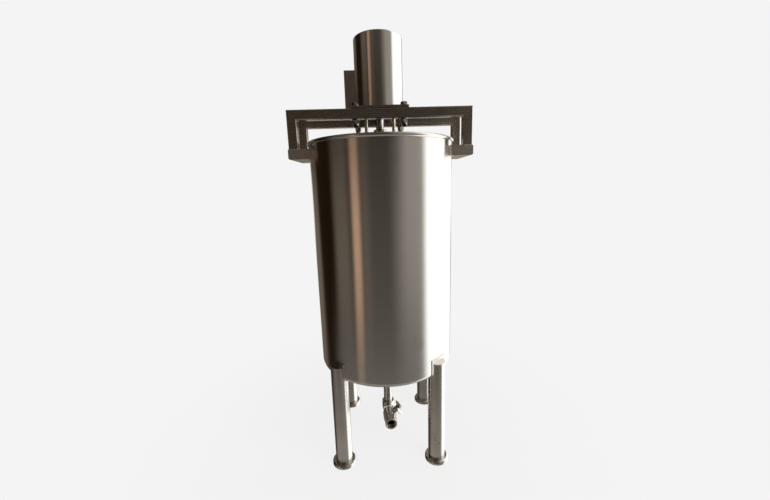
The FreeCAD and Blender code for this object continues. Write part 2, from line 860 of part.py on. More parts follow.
def box_mount_screw(x):
    """Cap screw from inside the box into the back wall of the rear rail."""
    seat = box_front + box_wall
    head = bore_y(box_mount_diameter / 2 * cap_head_share, x, box_mount_height, seat,
                  seat + box_mount_diameter * cap_height_share)
    shank = bore_y(box_mount_diameter / 2, x, box_mount_height, box_front - tube_wall, seat)
    return head.fuse(shank).removeSplitter()


def box_corners():
    """The four lid screws, as x and z."""
    inset = box_wall + box_tab / 2
    xs = (inset - box_left, box_width - box_left - inset)
    zs = (box_bottom + inset, box_bottom + box_height - inset)
    return [(x, z) for z in zs for x in xs]


def box_lid():
    """Flat lid with a turned-in edge that laps over the box."""
    lap = box_lid_thickness
    x0, x1 = -box_left - lap, box_width - box_left + lap
    y1 = box_front + box_depth
    z0, z1 = box_bottom - lap, box_bottom + box_height + lap
    lid = block(x0, x1, y1 - box_lid_overlap, y1 + lap, z0, z1)
    lid = lid.cut(block(x0 + lap, x1 - lap, y1 - box_lid_overlap, y1, z0 + lap, z1 - lap))
    for x, z in box_corners():
        lid = lid.cut(bore_y(box_screw_diameter / 2, x, z, y1, y1 + lap))
    return lid


def lid_screw(x, z):
    face = box_front + box_depth + box_lid_thickness
    shank = bore_y(box_screw_diameter / 2, x, z, face - 2 * box_screw_diameter, face)
    head = bore_y(box_screw_diameter / 2 * cap_head_share, x, z, face,
                  face + box_screw_diameter * cap_height_share)
    return head.fuse(shank).removeSplitter()


def gland_spots():
    """Two cable entries, one above the other, on the side of the box behind the cover."""
    y = box_front + box_depth / 2
    low = box_bottom + box_tab + gland_width
    return [V(0, y, low), V(0, y, low + gland_spacing)]


def cable_gland(spot):
    """Gland through the box's side: lock nut inside, hexagon and domed cap outside."""
    wall = box_width - box_left
    lock = gland_lock_height
    collar = gland_length / 3
    inner_end = -box_wall - lock - gland_thread_end
    body = rod(gland_thread / 2, inner_end, 0)
    body = body.fuse(hexagon(gland_width, -box_wall - lock, -box_wall))
    body = body.fuse(hexagon(gland_width, 0, collar))
    cap = rod(gland_cap_width / 2, collar, gland_length)
    cap = round_edges(cap, gland_cap_round, at_height(gland_length))
    body = body.fuse(cap).cut(rod(gland_bore / 2, inner_end, gland_length)).removeSplitter()
    body.rotate(V(0, 0, 0), Y_AXIS, 90)
    body.translate(V(wall, spot.y, spot.z))
    return body


def outlet_pipe():
    """Straight pipe from the bottom of the cone into the elbow's socket."""
    top = cone_height(outlet_radius, -tank_wall)
    low = outlet_height + elbow_reach - elbow_socket_depth
    return ring(outlet_radius, pipe_bore_radius, low, top)


def heeled(radius, top):
    """Upright cylinder up to top, closed below by half a ball about the origin."""
    side = [line((0, top), (radius, top)), line((radius, top), (radius, 0))]
    bend = math.radians(45)
    heel = arc((0, -radius), (radius * math.sin(bend), -radius * math.cos(bend)), (radius, 0))
    return revolved(side + [heel, line((0, -radius), (0, top))])


def outlet_elbow():
    """Cast elbow: an upright socket for the pipe, a round heel and a level leg with a male end."""
    socket = heeled(elbow_socket_width / 2, elbow_reach)
    socket = round_edges(socket, elbow_socket_round, at_height(elbow_reach))
    body = socket.fuse(level(elbow_leg_width / 2, 0, elbow_reach))
    body = body.fuse(level(outlet_radius, elbow_reach, valve_start + socket_depth))
    body = body.cut(heeled(pipe_bore_radius, elbow_reach))
    body = body.cut(level(pipe_bore_radius, 0, valve_start + socket_depth))
    return body.cut(rod(outlet_radius, elbow_reach - elbow_socket_depth, elbow_reach))


def in_place(shape, roll=valve_roll):
    """Move a shape from the valve's frame, along +X with its stem up, to the outlet."""
    moved = shape.copy()
    moved.rotate(V(0, 0, 0), X_AXIS, -roll)
    moved.rotate(V(0, 0, 0), Z_AXIS, outlet_turn - 90)
    moved.translate(V(0, 0, outlet_height))
    return moved


def level(radius, s0, s1):
    """Solid cylinder along the valve's axis."""
    return Part.makeCylinder(radius, s1 - s0, V(s0, 0, 0), X_AXIS)


def level_hexagon(width, s0, s1):
    """Hexagonal bar along the valve's axis, with a flat on either side."""
    bar = hexagon(width, s0, s1)
    bar.rotate(V(0, 0, 0), Y_AXIS, 90)
    return bar


def cavity():
    """Room inside the body for the ball and its seats."""
    reach = ball_diameter / 2
    return level(reach + ball_gap, valve_stem_place - reach, valve_stem_place + reach)


def valve_body():
    """Turned body with a stem boss, an open threaded end and the ball's cavity."""
    neck = valve_end - valve_neck_length
    barrel = level(valve_body_diameter / 2, tail_joint, neck)
    barrel = round_edges(barrel, valve_body_round, lambda e: e.BoundBox.XLength < 1e-6)
    front = level(valve_neck_diameter / 2, neck, valve_end)
    front = round_edges(front, valve_neck_round, lambda e: e.BoundBox.XMin > valve_end - 1e-6)
    boss = rod(boss_diameter / 2, 0, boss_height, V(valve_stem_place, 0, 0))
    body = barrel.fuse([front, boss]).removeSplitter()
    body = body.cut(cavity())
    body = body.cut(level(ball_diameter / 2, tail_joint, valve_stem_place))
    body = body.cut(level(valve_bore / 2, valve_stem_place, valve_end))
    body = body.cut(level(valve_thread_bore / 2, valve_end - valve_thread_depth, valve_end))
    body = body.cut(mouth_cone())
    stem = rod(stem_diameter / 2 + running_fit, 0, boss_height, V(valve_stem_place, 0, 0))
    return body.cut(stem)


def mouth_cone():
    """Chamfer that leads a pipe into the thread."""
    start = V(valve_end - valve_mouth_chamfer, 0, 0)
    inner = valve_thread_bore / 2
    return Part.makeCone(inner, inner + valve_mouth_chamfer, valve_mouth_chamfer, start, X_AXIS)


def valve_tail():
    """Hexagonal end piece, screwed into the body and socketed on the elbow."""
    inner_end = valve_stem_place - ball_diameter / 2
    tail = level_hexagon(tail_width, valve_start, tail_joint)
    tail = tail.common(level(tail_round_width / 2, valve_start, tail_joint))
    tail = tail.fuse(level(ball_diameter / 2, tail_joint, inner_end)).removeSplitter()
    tail = tail.cut(level(valve_bore / 2, valve_start, inner_end))
    return tail.cut(level(outlet_radius, valve_start, valve_start + socket_depth))


def valve_ball():
    """Ball bored along the flow while the valve is open, slotted across it for the stem."""
    centre = V(valve_stem_place, 0, 0)
    reach = ball_diameter / 2
    ball = Part.makeSphere(reach, centre)
    bore = Part.makeCylinder(valve_bore / 2, 2 * reach, centre - V(reach, 0, 0), X_AXIS)
    return ball.cut(bore).cut(stem_tang())


def stem_tang():
    """Flat on the stem's foot, no wider than the stem, that turns the ball."""
    half = tang_width / 2
    reach = ball_diameter / 2
    flat = block(valve_stem_place - half, valve_stem_place + half,
                 -stem_diameter, stem_diameter, reach - tang_depth, reach)
    return flat.common(rod(stem_diameter / 2, reach - tang_depth, reach, V(valve_stem_place, 0, 0)))


def valve_seat(side):
    """Soft ring that carries the ball on one side."""
    reach = ball_diameter / 2
    outer = valve_stem_place + side * reach
    inner = outer - side * seat_width
    seat = level(reach, min(outer, inner), max(outer, inner))
    seat = seat.cut(level(valve_bore / 2, min(outer, inner), max(outer, inner)))
    return seat.cut(Part.makeSphere(reach + ball_gap, V(valve_stem_place, 0, 0)))


def stem_top():
    return (boss_height + gland_nut_height + handle_gap + handle_thickness
            + handle_nut_height + stem_end)


def valve_stem():
    shank = rod(stem_diameter / 2, ball_diameter / 2, stem_top(), V(valve_stem_place, 0, 0))
    return shank.fuse(stem_tang()).removeSplitter()


def gland_nut():
    low, high = boss_height, boss_height + gland_nut_height
    spot = V(valve_stem_place, 0, 0)
    nut = nut_blank(gland_nut_width, low, high, spot)
    return nut.cut(rod(stem_diameter / 2 + running_fit, low, high, spot))


def valve_handle():
    """Butterfly handle along the open valve, its two wings bent down a little."""
    low = boss_height + gland_nut_height + handle_gap
    high = low + handle_thickness
    flat_half = handle_span / 2 - wing_length
    angle = math.radians(wing_drop)
    half = handle_width / 2
    spot = V(valve_stem_place, 0, 0)
    centre = block(-flat_half, flat_half, -half, half, low, high)
    parts = []
    for side in (-1, 1):
        wing = block(0, wing_length / math.cos(angle), -half, half, -handle_thickness, 0)
        wing = round_edges(wing, wing_corner, lambda e: upright(e) and e.Vertexes[0].X > 1)
        wing.rotate(V(0, 0, 0), Y_AXIS, wing_drop)
        wing.translate(V(flat_half, 0, high))
        knee = block(flat_half - wing_knee, flat_half, -half, half, low, high)
        wing = wing.fuse(knee)
        if side < 0:
            wing = wing.mirror(V(0, 0, 0), X_AXIS)
        parts.append(wing)
    hub = rod(handle_hub_width / 2, low, high)
    handle = centre.fuse(parts + [hub]).removeSplitter()
    handle.translate(spot)
    return handle.cut(rod(stem_diameter / 2, low, high, spot))


def handle_nut():
    low = boss_height + gland_nut_height + handle_gap + handle_thickness
    spot = V(valve_stem_place, 0, 0)
    nut = nut_blank(handle_nut_width, low, low + handle_nut_height, spot)
    return nut.cut(rod(stem_diameter / 2, low, low + handle_nut_height, spot))


def build_vessel():
    vessel = vessel_block(0.0)
    grown = vessel_block(pad_thickness)
    save("tank_shell", tank_shell())
    save("rim_bead", rim_bead())
    spots = ring_points(leg_count, leg_circle_radius, first_leg_angle)
    for spot in spots:
        place = ("front" if spot.y < 0 else "rear") + ("_left" if spot.x < 0 else "_right")
        save("leg_" + place, leg(spot, grown))
        save("foot_" + place, foot(spot))
    save("leg_pads", *[leg_pad(spot, vessel, grown) for spot in spots])
    save("foot_screws", *[foot_screw(spot) for spot in spots])
    for side, word in ((-1, "left"), (1, "right")):
        save("ear_" + word, ear(side, vessel))


def build_bridge(rods):
    for y, row in ((-rail_y, "front"), (rail_y, "rear")):
        save("rail_" + row, rail(y))
        for side, word in ((-1, "left"), (1, "right")):
            save("post_" + row + "_" + word, post(side, y))
    spots = bolt_spots()
    save("motor_plate", motor_plate(rods))
    save("plate_bolts", *[plate_bolt(spot) for spot in spots])
    save("plate_washers", *[washer for spot in spots for washer in plate_washers(spot)])
    save("dome_nuts", *[dome_nut(spot) for spot in spots])


def build_motor():
    lip_top = plate_top + cover_lip_thickness
    flange_top = plate_top + motor_flange_thickness
    save("motor_cover", motor_cover())
    save("cover_screws", *[cap_screw(s, cover_screw_diameter, lip_top) for s in cover_screw_spots()])
    save("motor_flange", motor_flange())
    save("motor_screws", *[cap_screw(s, motor_screw_diameter, flange_top)
                           for s in motor_screw_spots()])
    save("motor_housing", motor_housing())
    save("motor_end_shield", motor_end_shield())
    save("motor_bearings", bearing(lower_bearing_z), bearing(housing_top))
    save("motor_shaft", motor_shaft())
    save("rotor_core", rotor_core())
    save("cooling_fan", cooling_fan())


def build_mixer(rods):
    save("shaft_coupling", shaft_coupling())
    save("coupling_screws", *[coupling_screw(z) for z in coupling_screw_heights()])
    save("mixer_shaft", mixer_shaft())
    save("tie_rods", *[tie_rod(spot) for spot in rods])
    save("steady_plate", steady_plate(rods))
    save("head_plate", head_plate(rods))
    save("shaft_bushes", bush(steady_height + steady_thickness), bush(head_plate_top))
    save("stator_screen", stator_screen(rods))
    save("head_nuts", *[head_nut(spot) for spot in rods])
    save("shear_rotor", shear_rotor())
    save("rotor_nut", rotor_nut())


def build_box():
    save("junction_box", junction_box())
    save("box_lid", box_lid())
    save("lid_screws", *[lid_screw(x, z) for x, z in box_corners()])
    save("box_screws", *[box_mount_screw(x) for x in box_mount_places()])
    save("cable_glands", *[cable_gland(spot) for spot in gland_spots()])


def build_outlet():
    save("outlet_pipe", outlet_pipe())
    save("outlet_elbow", in_place(outlet_elbow(), 0.0))
    save("valve_body", in_place(valve_body()))
    save("valve_tail", in_place(valve_tail(), 0.0))
    save("valve_ball", in_place(valve_ball()))
    save("valve_seats", in_place(valve_seat(-1)), in_place(valve_seat(1)))
    save("valve_stem", in_place(valve_stem()))
    save("valve_gland_nut", in_place(gland_nut()))
    save("valve_handle", in_place(valve_handle()))
    save("valve_handle_nut", in_place(handle_nut()))


os.makedirs("parts", exist_ok=True)
rod_spots = ring_points(rod_count, rod_circle_radius, first_rod_angle)
build_vessel()
build_bridge(rod_spots)
build_motor()
build_mixer(rod_spots)
build_box()
build_outlet()
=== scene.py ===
# %% [markdown]
# # A stainless blending tank in a studio
#
# The object is an open stainless vessel on four tube legs. A bridge of square tube stands over its mouth
# and carries a covered motor, whose shaft turns a mixing head near the bottom, and a ball valve closes
# the outlet below.
# Every machined piece comes with the frame, at its real size. What this lesson adds is what a drawing
# office leaves to the workshop: the finish that each tool leaves on the steel, the weld seams, the
# threads and the screw heads.
# We could paint everything with one grey metal, and it would look like a toy. Stainless steel has no
# colour of its own to speak of, so the picture depends on two things: how each surface was worked, and
# what stands round it to be mirrored.

# %% Load the frame
import json
import math
import random

import bmesh
import bpy
from mathutils import Matrix, Vector


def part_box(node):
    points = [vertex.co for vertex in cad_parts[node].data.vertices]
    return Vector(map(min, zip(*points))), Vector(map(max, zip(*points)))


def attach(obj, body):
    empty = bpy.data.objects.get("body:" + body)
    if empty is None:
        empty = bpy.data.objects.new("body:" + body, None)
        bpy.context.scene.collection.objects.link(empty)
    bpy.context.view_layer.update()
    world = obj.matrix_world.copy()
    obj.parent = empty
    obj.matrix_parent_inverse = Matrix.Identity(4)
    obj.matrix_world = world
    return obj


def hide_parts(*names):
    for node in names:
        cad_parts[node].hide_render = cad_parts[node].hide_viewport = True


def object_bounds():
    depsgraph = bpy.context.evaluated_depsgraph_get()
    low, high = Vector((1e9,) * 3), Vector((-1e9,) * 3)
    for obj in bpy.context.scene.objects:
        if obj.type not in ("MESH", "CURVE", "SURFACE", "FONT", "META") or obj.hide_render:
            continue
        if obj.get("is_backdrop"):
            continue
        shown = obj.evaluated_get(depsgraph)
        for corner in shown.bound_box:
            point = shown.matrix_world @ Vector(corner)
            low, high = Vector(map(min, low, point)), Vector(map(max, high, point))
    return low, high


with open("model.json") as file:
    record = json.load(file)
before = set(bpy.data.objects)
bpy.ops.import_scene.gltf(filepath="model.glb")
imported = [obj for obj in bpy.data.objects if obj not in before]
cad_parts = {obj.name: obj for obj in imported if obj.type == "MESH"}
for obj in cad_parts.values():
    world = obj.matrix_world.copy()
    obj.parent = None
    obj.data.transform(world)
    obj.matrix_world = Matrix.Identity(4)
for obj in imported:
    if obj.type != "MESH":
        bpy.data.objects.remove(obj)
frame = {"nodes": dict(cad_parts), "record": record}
NODES = frame["nodes"]
scene = bpy.context.scene
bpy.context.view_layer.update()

# %% [markdown]
# ## Colours, lengths and nodes
#
# A colour given here is an sRGB value, and a shader wants linear light, so one function turns the
# first into the second. Lengths of patterns are written in millimetres, because that is how a finish is
# described in a workshop.
# A material is a small graph. One helper adds a node, sets it up and links it, so that each material
# reads from top to bottom like a recipe. Two more mix numbers and colours, since the sockets of that node
# have the same names and go by their places.

# %% Helpers for colours and nodes
MM = 0.001


def linear(code):
    """An sRGB hex colour such as #C8C5C0 as linear RGB with full alpha."""
    parts = [int(code[i:i + 2], 16) / 255 for i in (1, 3, 5)]
    return tuple(c / 12.92 if c <= 0.04045 else ((c + 0.055) / 1.055) ** 2.4 for c in parts) + (1.0,)


def add(tree, kind, inputs=None, **settings):
    """Add one node. Inputs are socket values, or the sockets that feed them."""
    node = tree.nodes.new("ShaderNode" + kind)
    for name, value in settings.items():
        setattr(node, name, value)
    for name, value in (inputs or {}).items():
        if isinstance(value, bpy.types.NodeSocket):
            tree.links.new(value, node.inputs[name])
        else:
            node.inputs[name].default_value = value
    return node


def new_material(name, **settings):
    """An empty material with a Principled shader, whose sockets take the settings."""
    material = bpy.data.materials.new(name)
    material.use_nodes = True
    tree = material.node_tree
    tree.nodes.clear()
    shader = add(tree, "BsdfPrincipled", {key.replace("_", " "): value for key, value in settings.items()})
    add(tree, "OutputMaterial", {"Surface": shader.outputs["BSDF"]})
    return material, tree, shader


def ramp(tree, value, tones):
    """Colours for a value from 0 to 1, as pairs of place and hex colour."""
    node = add(tree, "ValToRGB", {"Fac": value})
    stops = node.color_ramp.elements
    while len(stops) < len(tones):
        stops.new(1.0)
    for stop, (place, colour) in zip(stops, tones):
        stop.position = place
        stop.color = linear(colour)
    return node.outputs["Color"]


def blend(tree, share, first, second):
    """A number between two others."""
    return add(tree, "Mix", {0: share, 2: first, 3: second}, data_type="FLOAT").outputs[0]


def blend_colours(tree, share, first, second):
    """A colour between two others."""
    return add(tree, "Mix", {0: share, 6: first, 7: second}, data_type="RGBA").outputs[2]


print("white is", [round(c, 3) for c in linear("#F4F4F4")[:3]], "in linear light")

# %% [markdown]
# ## Grain
#
# A belt or a brush leaves fine parallel scratches. They could be a picture, but a picture would have to
# be wrapped round every tube, so a noise that is stretched along the scratches is used instead. It reads
# the piece's own coordinates, which are metres in the frame, and its scale is the size of one scratch:
# how far apart the scratches lie, and how long they are.
# Real scratches of a 180 grit belt lie about 0.1 mm apart. That can't show in the picture, so they are
# drawn about a millimetre or more apart.
# A noise hardly ever comes near 0 or 1, so what follows it uses only its middle range.

# %% Stretched noise for scratches and mottling
NOISE_LOW, NOISE_HIGH = 0.3, 0.7


def grain(tree, size_mm, detail=2.0, seed=0.0):
    """Noise whose blobs measure size_mm along X, Y and Z. Its output runs from 0 to 1."""
    place = add(tree, "TexCoord")
    scale = [1 / (length * MM) for length in size_mm]
    mapped = add(tree, "Mapping", {"Vector": place.outputs["Object"], "Scale": scale,
                                   "Location": (seed, seed, seed)})
    noise = add(tree, "TexNoise", {"Vector": mapped.outputs["Vector"], "Scale": 1.0, "Detail": detail})
    return noise.outputs["Fac"]


def spread(tree, value, low, high):
    """Move a noise's middle range to lie between low and high."""
    moved = add(tree, "MapRange", {"Value": value, "From Min": NOISE_LOW, "From Max": NOISE_HIGH,
                                   "To Min": low, "To Max": high})
    return moved.outputs["Result"]


def bumped(tree, shader, *layers):
    """Bump the shader by layers of (height, depth in mm)."""
    normal = None
    for height, depth in layers:
        inputs = {"Height": height, "Distance": depth * MM, "Strength": 1.0}
        if normal:
            inputs["Normal"] = normal
        normal = add(tree, "Bump", inputs).outputs["Normal"]
    tree.links.new(normal, shader.inputs["Normal"])


print("grain helpers ready")

# %% [markdown]
# ## Brushed sheet
#
# The vessel and the motor's cover are rolled from stainless sheet and brushed round and round. The fine
# rings blur every reflection up and down but hardly sideways, which is why the whole tank looks striped
# from top to bottom.
# A rough grey metal would blur both ways and lose the stripes. The Principled shader's anisotropy
# does it right, with a tangent that runs round the piece's own axis and is turned by a quarter, since
# the shader smears along its tangent.
# The rings and some larger patches also make it rougher here and smoother there.
# The sheet isn't perfectly round either. A slow, shallow wave makes the stripes wander a little.

# %% Material for brushed sheet
QUARTER_TURN = 0.25


def round_tangent(tree, shader):
    """Brush marks that run round the upright axis of the piece."""
    tangent = add(tree, "Tangent", direction_type="RADIAL", axis="Z")
    tree.links.new(tangent.outputs["Tangent"], shader.inputs["Tangent"])


def brushed_sheet(name, colour, roughness, wave_mm):
    """Sheet brushed round and round, with waves of a depth in mm."""
    material, tree, shader = new_material(name, Base_Color=linear(colour), Metallic=1.0,
                                          Anisotropic=1.0, Anisotropic_Rotation=QUARTER_TURN)
    round_tangent(tree, shader)
    rings = grain(tree, (90, 90, 1.6), detail=3.0)
    patches = grain(tree, (60, 60, 40), seed=4.0)
    worn = blend(tree, 0.35, rings, patches)
    rough = spread(tree, worn, roughness * 0.85, roughness * 1.2)
    tree.links.new(rough, shader.inputs["Roughness"])
    waves = grain(tree, (160, 160, 420), detail=1.0, seed=9.0)
    bumped(tree, shader, (waves, wave_mm), (rings, 0.003))
    return material


tank_sheet = brushed_sheet("stainless_sheet_brushed", "#CBC8C3", 0.19, 0.4)
cover_sheet = brushed_sheet("stainless_sheet_spun", "#CBC8C3", 0.17, 0.1)
print("brushed sheet:", tank_sheet.name, cover_sheet.name)

# %% [markdown]
# ## Tube, bar and plate
#
# The legs are welded tube with a satin polish. The bridge is square tube whose welds were ground back
# with a flap disc, and the disc ran on over the faces, so they are a little cloudy and scratched in
# every direction. Both could share one material, but the eye reads the difference at once: the legs
# mirror a clear stripe and the bridge only a soft one.

# %% Materials for tube, bar and plate


def worked_steel(name, colour, dark, roughness, scratch_mm, patch_mm, depth_mm, anisotropy=0.0):
    """Stainless with scratches along one way and cloudy patches of a darker shade."""
    material, tree, shader = new_material(name, Metallic=1.0, Anisotropic=anisotropy,
                                          Anisotropic_Rotation=QUARTER_TURN)
    if anisotropy:
        round_tangent(tree, shader)
    scratches = grain(tree, scratch_mm, detail=3.0)
    clouds = grain(tree, (patch_mm,) * 3, detail=3.0, seed=7.0)
    shade = ramp(tree, clouds, ((0.3, dark), (0.65, colour)))
    tree.links.new(shade, shader.inputs["Base Color"])
    worn = blend(tree, 0.5, scratches, clouds)
    rough = spread(tree, worn, roughness * 1.25, roughness * 0.8)
    tree.links.new(rough, shader.inputs["Roughness"])
    bumped(tree, shader, (scratches, depth_mm))
    return material


leg_tube = worked_steel("stainless_tube_satin", "#D6D2CC", "#CAC5BE", 0.24, (60, 60, 2), 60, 0.004, 0.6)
bridge_tube = worked_steel("stainless_tube_ground", "#C8C2B9", "#B3ACA2", 0.27, (40, 4, 4), 45, 0.005)
bent_plate = worked_steel("stainless_plate_ground", "#DAD4CB", "#C6BFB4", 0.4, (30, 30, 4), 35, 0.006)
box_sheet = worked_steel("stainless_sheet_satin", "#D8D2C9", "#C5BEB4", 0.31, (4, 4, 60), 60, 0.005)
round_bar = worked_steel("stainless_bar_polished", "#CBC7C0", "#BDB8B0", 0.2, (40, 40, 2), 60, 0.003)
# The tie rods' pale, yellowish tone is painted sheen. It stands in for the bright, warm reflection that the
# rods catch, and is not a colour of the steel itself.
rod_bar_painted_sheen = worked_steel("stainless_bar_drawn_painted_sheen", "#E9E1C8", "#DDD4BA", 0.3, (2, 2, 40), 60, 0.004)
turned_bar = worked_steel("stainless_bar_turned", "#CCC9C4", "#BDB9B2", 0.2, (30, 30, 1.2), 20, 0.006, 0.5)
thread_steel = worked_steel("stainless_thread_cut", "#8C867F", "#6E6861", 0.35, (2, 2, 2), 8, 0.006)
print("worked steel: 8 finishes")

# %% [markdown]
# The front right leg carries two small brown stains. They belong to the leg's own material, at their
# places on the object, so they stay there from every side.

# %% Two small stains on the front right leg
stain_spots = [(162, -202, 104), (179, -202, 82)]
stain_radius = 4.0
stain_strength = 0.75


def stained(material, spots, radius, colour):
    """Soft stains at places on the object, all in mm, in a material whose colour is already linked."""
    tree = material.node_tree
    target = tree.nodes["Principled BSDF"].inputs["Base Color"]
    source = target.links[0].from_socket
    place = add(tree, "TexCoord")
    for spot in spots:
        away = add(tree, "VectorMath", {0: place.outputs["Object"], 1: Vector(spot) * MM},
                   operation="DISTANCE")
        share = add(tree, "MapRange", {"Value": away.outputs["Value"], "From Min": 0.3 * radius * MM,
                                       "From Max": radius * MM, "To Min": stain_strength, "To Max": 0.0})
        source = blend_colours(tree, share.outputs["Result"], source, linear(colour))
    tree.links.new(source, target)


stained(leg_tube, stain_spots, stain_radius, "#4A3A2C")
print("stains:", len(stain_spots))

# %% [markdown]
# ## Castings, fasteners and shafts
#
# The ball valve and its elbow are investment castings. The wax and the slurry leave a skin like orange
# peel, and tumbling polishes its high spots, so it glitters in patches. Screws are cold formed and
# bright, and the mixer's shaft and rods are centreless ground, the smoothest steel on the machine.

# %% Materials for castings, fasteners and shafts
cast_steel, tree, shader = new_material("stainless_casting_tumbled", Base_Color=linear("#D2CFCA"),
                                        Metallic=1.0)
peel = grain(tree, (2.5, 2.5, 2.5), detail=1.0)
lumps = grain(tree, (11, 11, 11), detail=1.0, seed=3.0)
tree.links.new(spread(tree, peel, 0.1, 0.2), shader.inputs["Roughness"])
bumped(tree, shader, (lumps, 0.8), (peel, 0.05))

screw_steel, tree, shader = new_material("stainless_screw_bright", Base_Color=linear("#B3AEA6"),
                                         Metallic=1.0)
tree.links.new(spread(tree, grain(tree, (4, 4, 4)), 0.1, 0.2), shader.inputs["Roughness"])

ground_bar, tree, shader = new_material("steel_bar_ground", Base_Color=linear("#CFCCC4"), Metallic=1.0)
rings = grain(tree, (20, 20, 0.8))
tree.links.new(spread(tree, rings, 0.1, 0.18), shader.inputs["Roughness"])
bumped(tree, shader, (rings, 0.002))
print("castings, screws and shafts ready")

# %% [markdown]
# ## The motor's insides, plastics and seals
#
# Nobody sees the motor under its cover, but it is there, and a cutaway picture may show it. Its housing
# is sand-cast aluminium, its core is stacked sheet with a blued skin, and its fan is black nylon. The
# cable glands are grey nylon and the ball runs in white PTFE seats.

# %% Materials inside the motor and the valve
cast_alloy, tree, shader = new_material("aluminium_sand_cast", Base_Color=linear("#A9ABAC"), Metallic=1.0)
sand = grain(tree, (1.5, 1.5, 1.5), detail=3.0)
tree.links.new(spread(tree, sand, 0.45, 0.65), shader.inputs["Roughness"])
bumped(tree, shader, (sand, 0.15))

core_steel, tree, shader = new_material("core_sheet_stacked", Base_Color=linear("#7B7F86"), Metallic=1.0)
sheets = grain(tree, (400, 400, 0.7))
tree.links.new(spread(tree, sheets, 0.3, 0.5), shader.inputs["Roughness"])
bumped(tree, shader, (sheets, 0.05))

bearing_steel, tree, shader = new_material("bearing_steel_lapped", Base_Color=linear("#C6C7C9"),
                                           Metallic=1.0)
tree.links.new(spread(tree, grain(tree, (8, 8, 0.6)), 0.1, 0.22), shader.inputs["Roughness"])


def moulded(name, colour, darker, roughness, ior):
    """Moulded plastic with the faint orange peel of its mould and a little colour drift."""
    material, tree, shader = new_material(name, IOR=ior)
    skin = grain(tree, (1.2, 1.2, 1.2), detail=3.0)
    drift = blend_colours(tree, grain(tree, (12, 12, 12)), linear(darker), linear(colour))
    tree.links.new(drift, shader.inputs["Base Color"])
    tree.links.new(spread(tree, skin, roughness * 0.8, roughness * 1.2), shader.inputs["Roughness"])
    bumped(tree, shader, (skin, 0.03))
    return material


fan_nylon = moulded("nylon_black_moulded", "#26272A", "#1C1D1F", 0.5, 1.53)
gland_nylon = moulded("nylon_grey_moulded", "#5B5E60", "#4C4F51", 0.45, 1.53)
seat_ptfe = moulded("ptfe_white_turned", "#ECEBE6", "#E0DED8", 0.35, 1.35)
print("inner materials ready")

# %% [markdown]
# ## Weld metal
#
# A bead is drawn by hand with a torch, and its last colour is the colour of the oxide that grew while it
# cooled: straw at the edge, then brown and blue. Most of it was brushed off here, so the tint is weak.
# A seam on a sheet is ground flush, and only a band of finer, cross-wise scratches shows where it was.

# %% Materials for weld beads and dressed seams
weld_metal, tree, shader = new_material("weld_metal_tinted", Metallic=1.0)
tint = ramp(tree, grain(tree, (7, 7, 7)), ((0.3, "#A0978C"), (0.45, "#B3ABA0"), (0.62, "#C8C2B8")))
tree.links.new(tint, shader.inputs["Base Color"])
skin = grain(tree, (1.5, 1.5, 1.5))
tree.links.new(spread(tree, skin, 0.2, 0.34), shader.inputs["Roughness"])
bumped(tree, shader, (skin, 0.04))
seam_steel = worked_steel("weld_seam_dressed", "#C4C0BA", "#B8B3AB", 0.26, (1.2, 1.2, 20), 12, 0.006)
print("weld metal ready")

# %% [markdown]
# ## Dress the frame
#
# Each piece of the frame gets the finish of the tool that made it. A table of piece to finish could list
# all sixty, but most names share a beginning, so the longest beginning that fits decides.

# %% Give every piece its finish
FINISHES = {
    "tank_shell": tank_sheet,
    "rim_bead": round_bar,
    "leg_": leg_tube,
    "leg_pads": tank_sheet,
    "foot_": turned_bar,
    "foot_screws": screw_steel,
    "ear_": bent_plate,
    "rail_": bridge_tube,
    "post_": bridge_tube,
    "motor_plate": bridge_tube,
    "plate_bolts": screw_steel,
    "plate_washers": screw_steel,
    "dome_nuts": screw_steel,
    "motor_cover": cover_sheet,
    "cover_screws": screw_steel,
    "motor_flange": cast_alloy,
    "motor_screws": screw_steel,
    "motor_housing": cast_alloy,
    "motor_end_shield": cast_alloy,
    "motor_bearings": bearing_steel,
    "motor_shaft": ground_bar,
    "rotor_core": core_steel,
    "cooling_fan": fan_nylon,
    "shaft_coupling": turned_bar,
    "coupling_screws": screw_steel,
    "mixer_shaft": ground_bar,
    "tie_rods": rod_bar_painted_sheen,
    "steady_plate": turned_bar,
    "head_plate": turned_bar,
    "shaft_bushes": seat_ptfe,
    "stator_screen": turned_bar,
    "head_nuts": screw_steel,
    "shear_rotor": cast_steel,
    "rotor_nut": screw_steel,
    "junction_box": box_sheet,
    "box_lid": box_sheet,
    "lid_screws": screw_steel,
    "box_screws": screw_steel,
    "cable_glands": gland_nylon,
    "outlet_pipe": leg_tube,
    "outlet_elbow": cast_steel,
    "valve_": cast_steel,
    "valve_seats": seat_ptfe,
    "valve_ball": ground_bar,
    "valve_stem": ground_bar,
    "valve_gland_nut": screw_steel,
    "valve_handle_nut": screw_steel,
}
for name, piece in NODES.items():
    start = max((key for key in FINISHES if name.startswith(key)), key=len)
    for place in piece.material_slots:
        place.material = FINISHES[start]
print("dressed", len(NODES), "pieces with", len(set(FINISHES.values())), "finishes")

# %% [markdown]
# ## A bead along a line
#
# Welds, threads and ribs all have the same build: a small section carried along a line. The line is a
# list of points, each with the direction that faces out of the steel. It is cut into even steps first,
# so that the ripples of a weld keep one spacing round the corners.
# A weld drawn as a smooth pipe looks like a rubber seal. The torch dabs about every two millimetres and
# each dab freezes as a crescent, so the section swells and shrinks along the line, never quite evenly.
# Four steps make one ripple: wide, plain, narrow and plain again.

# %% Helpers for swept pieces
rng = random.Random(7)
SHARP = math.radians(40)
RIPPLE_STEPS = 4
BEAD_SIDES = 8


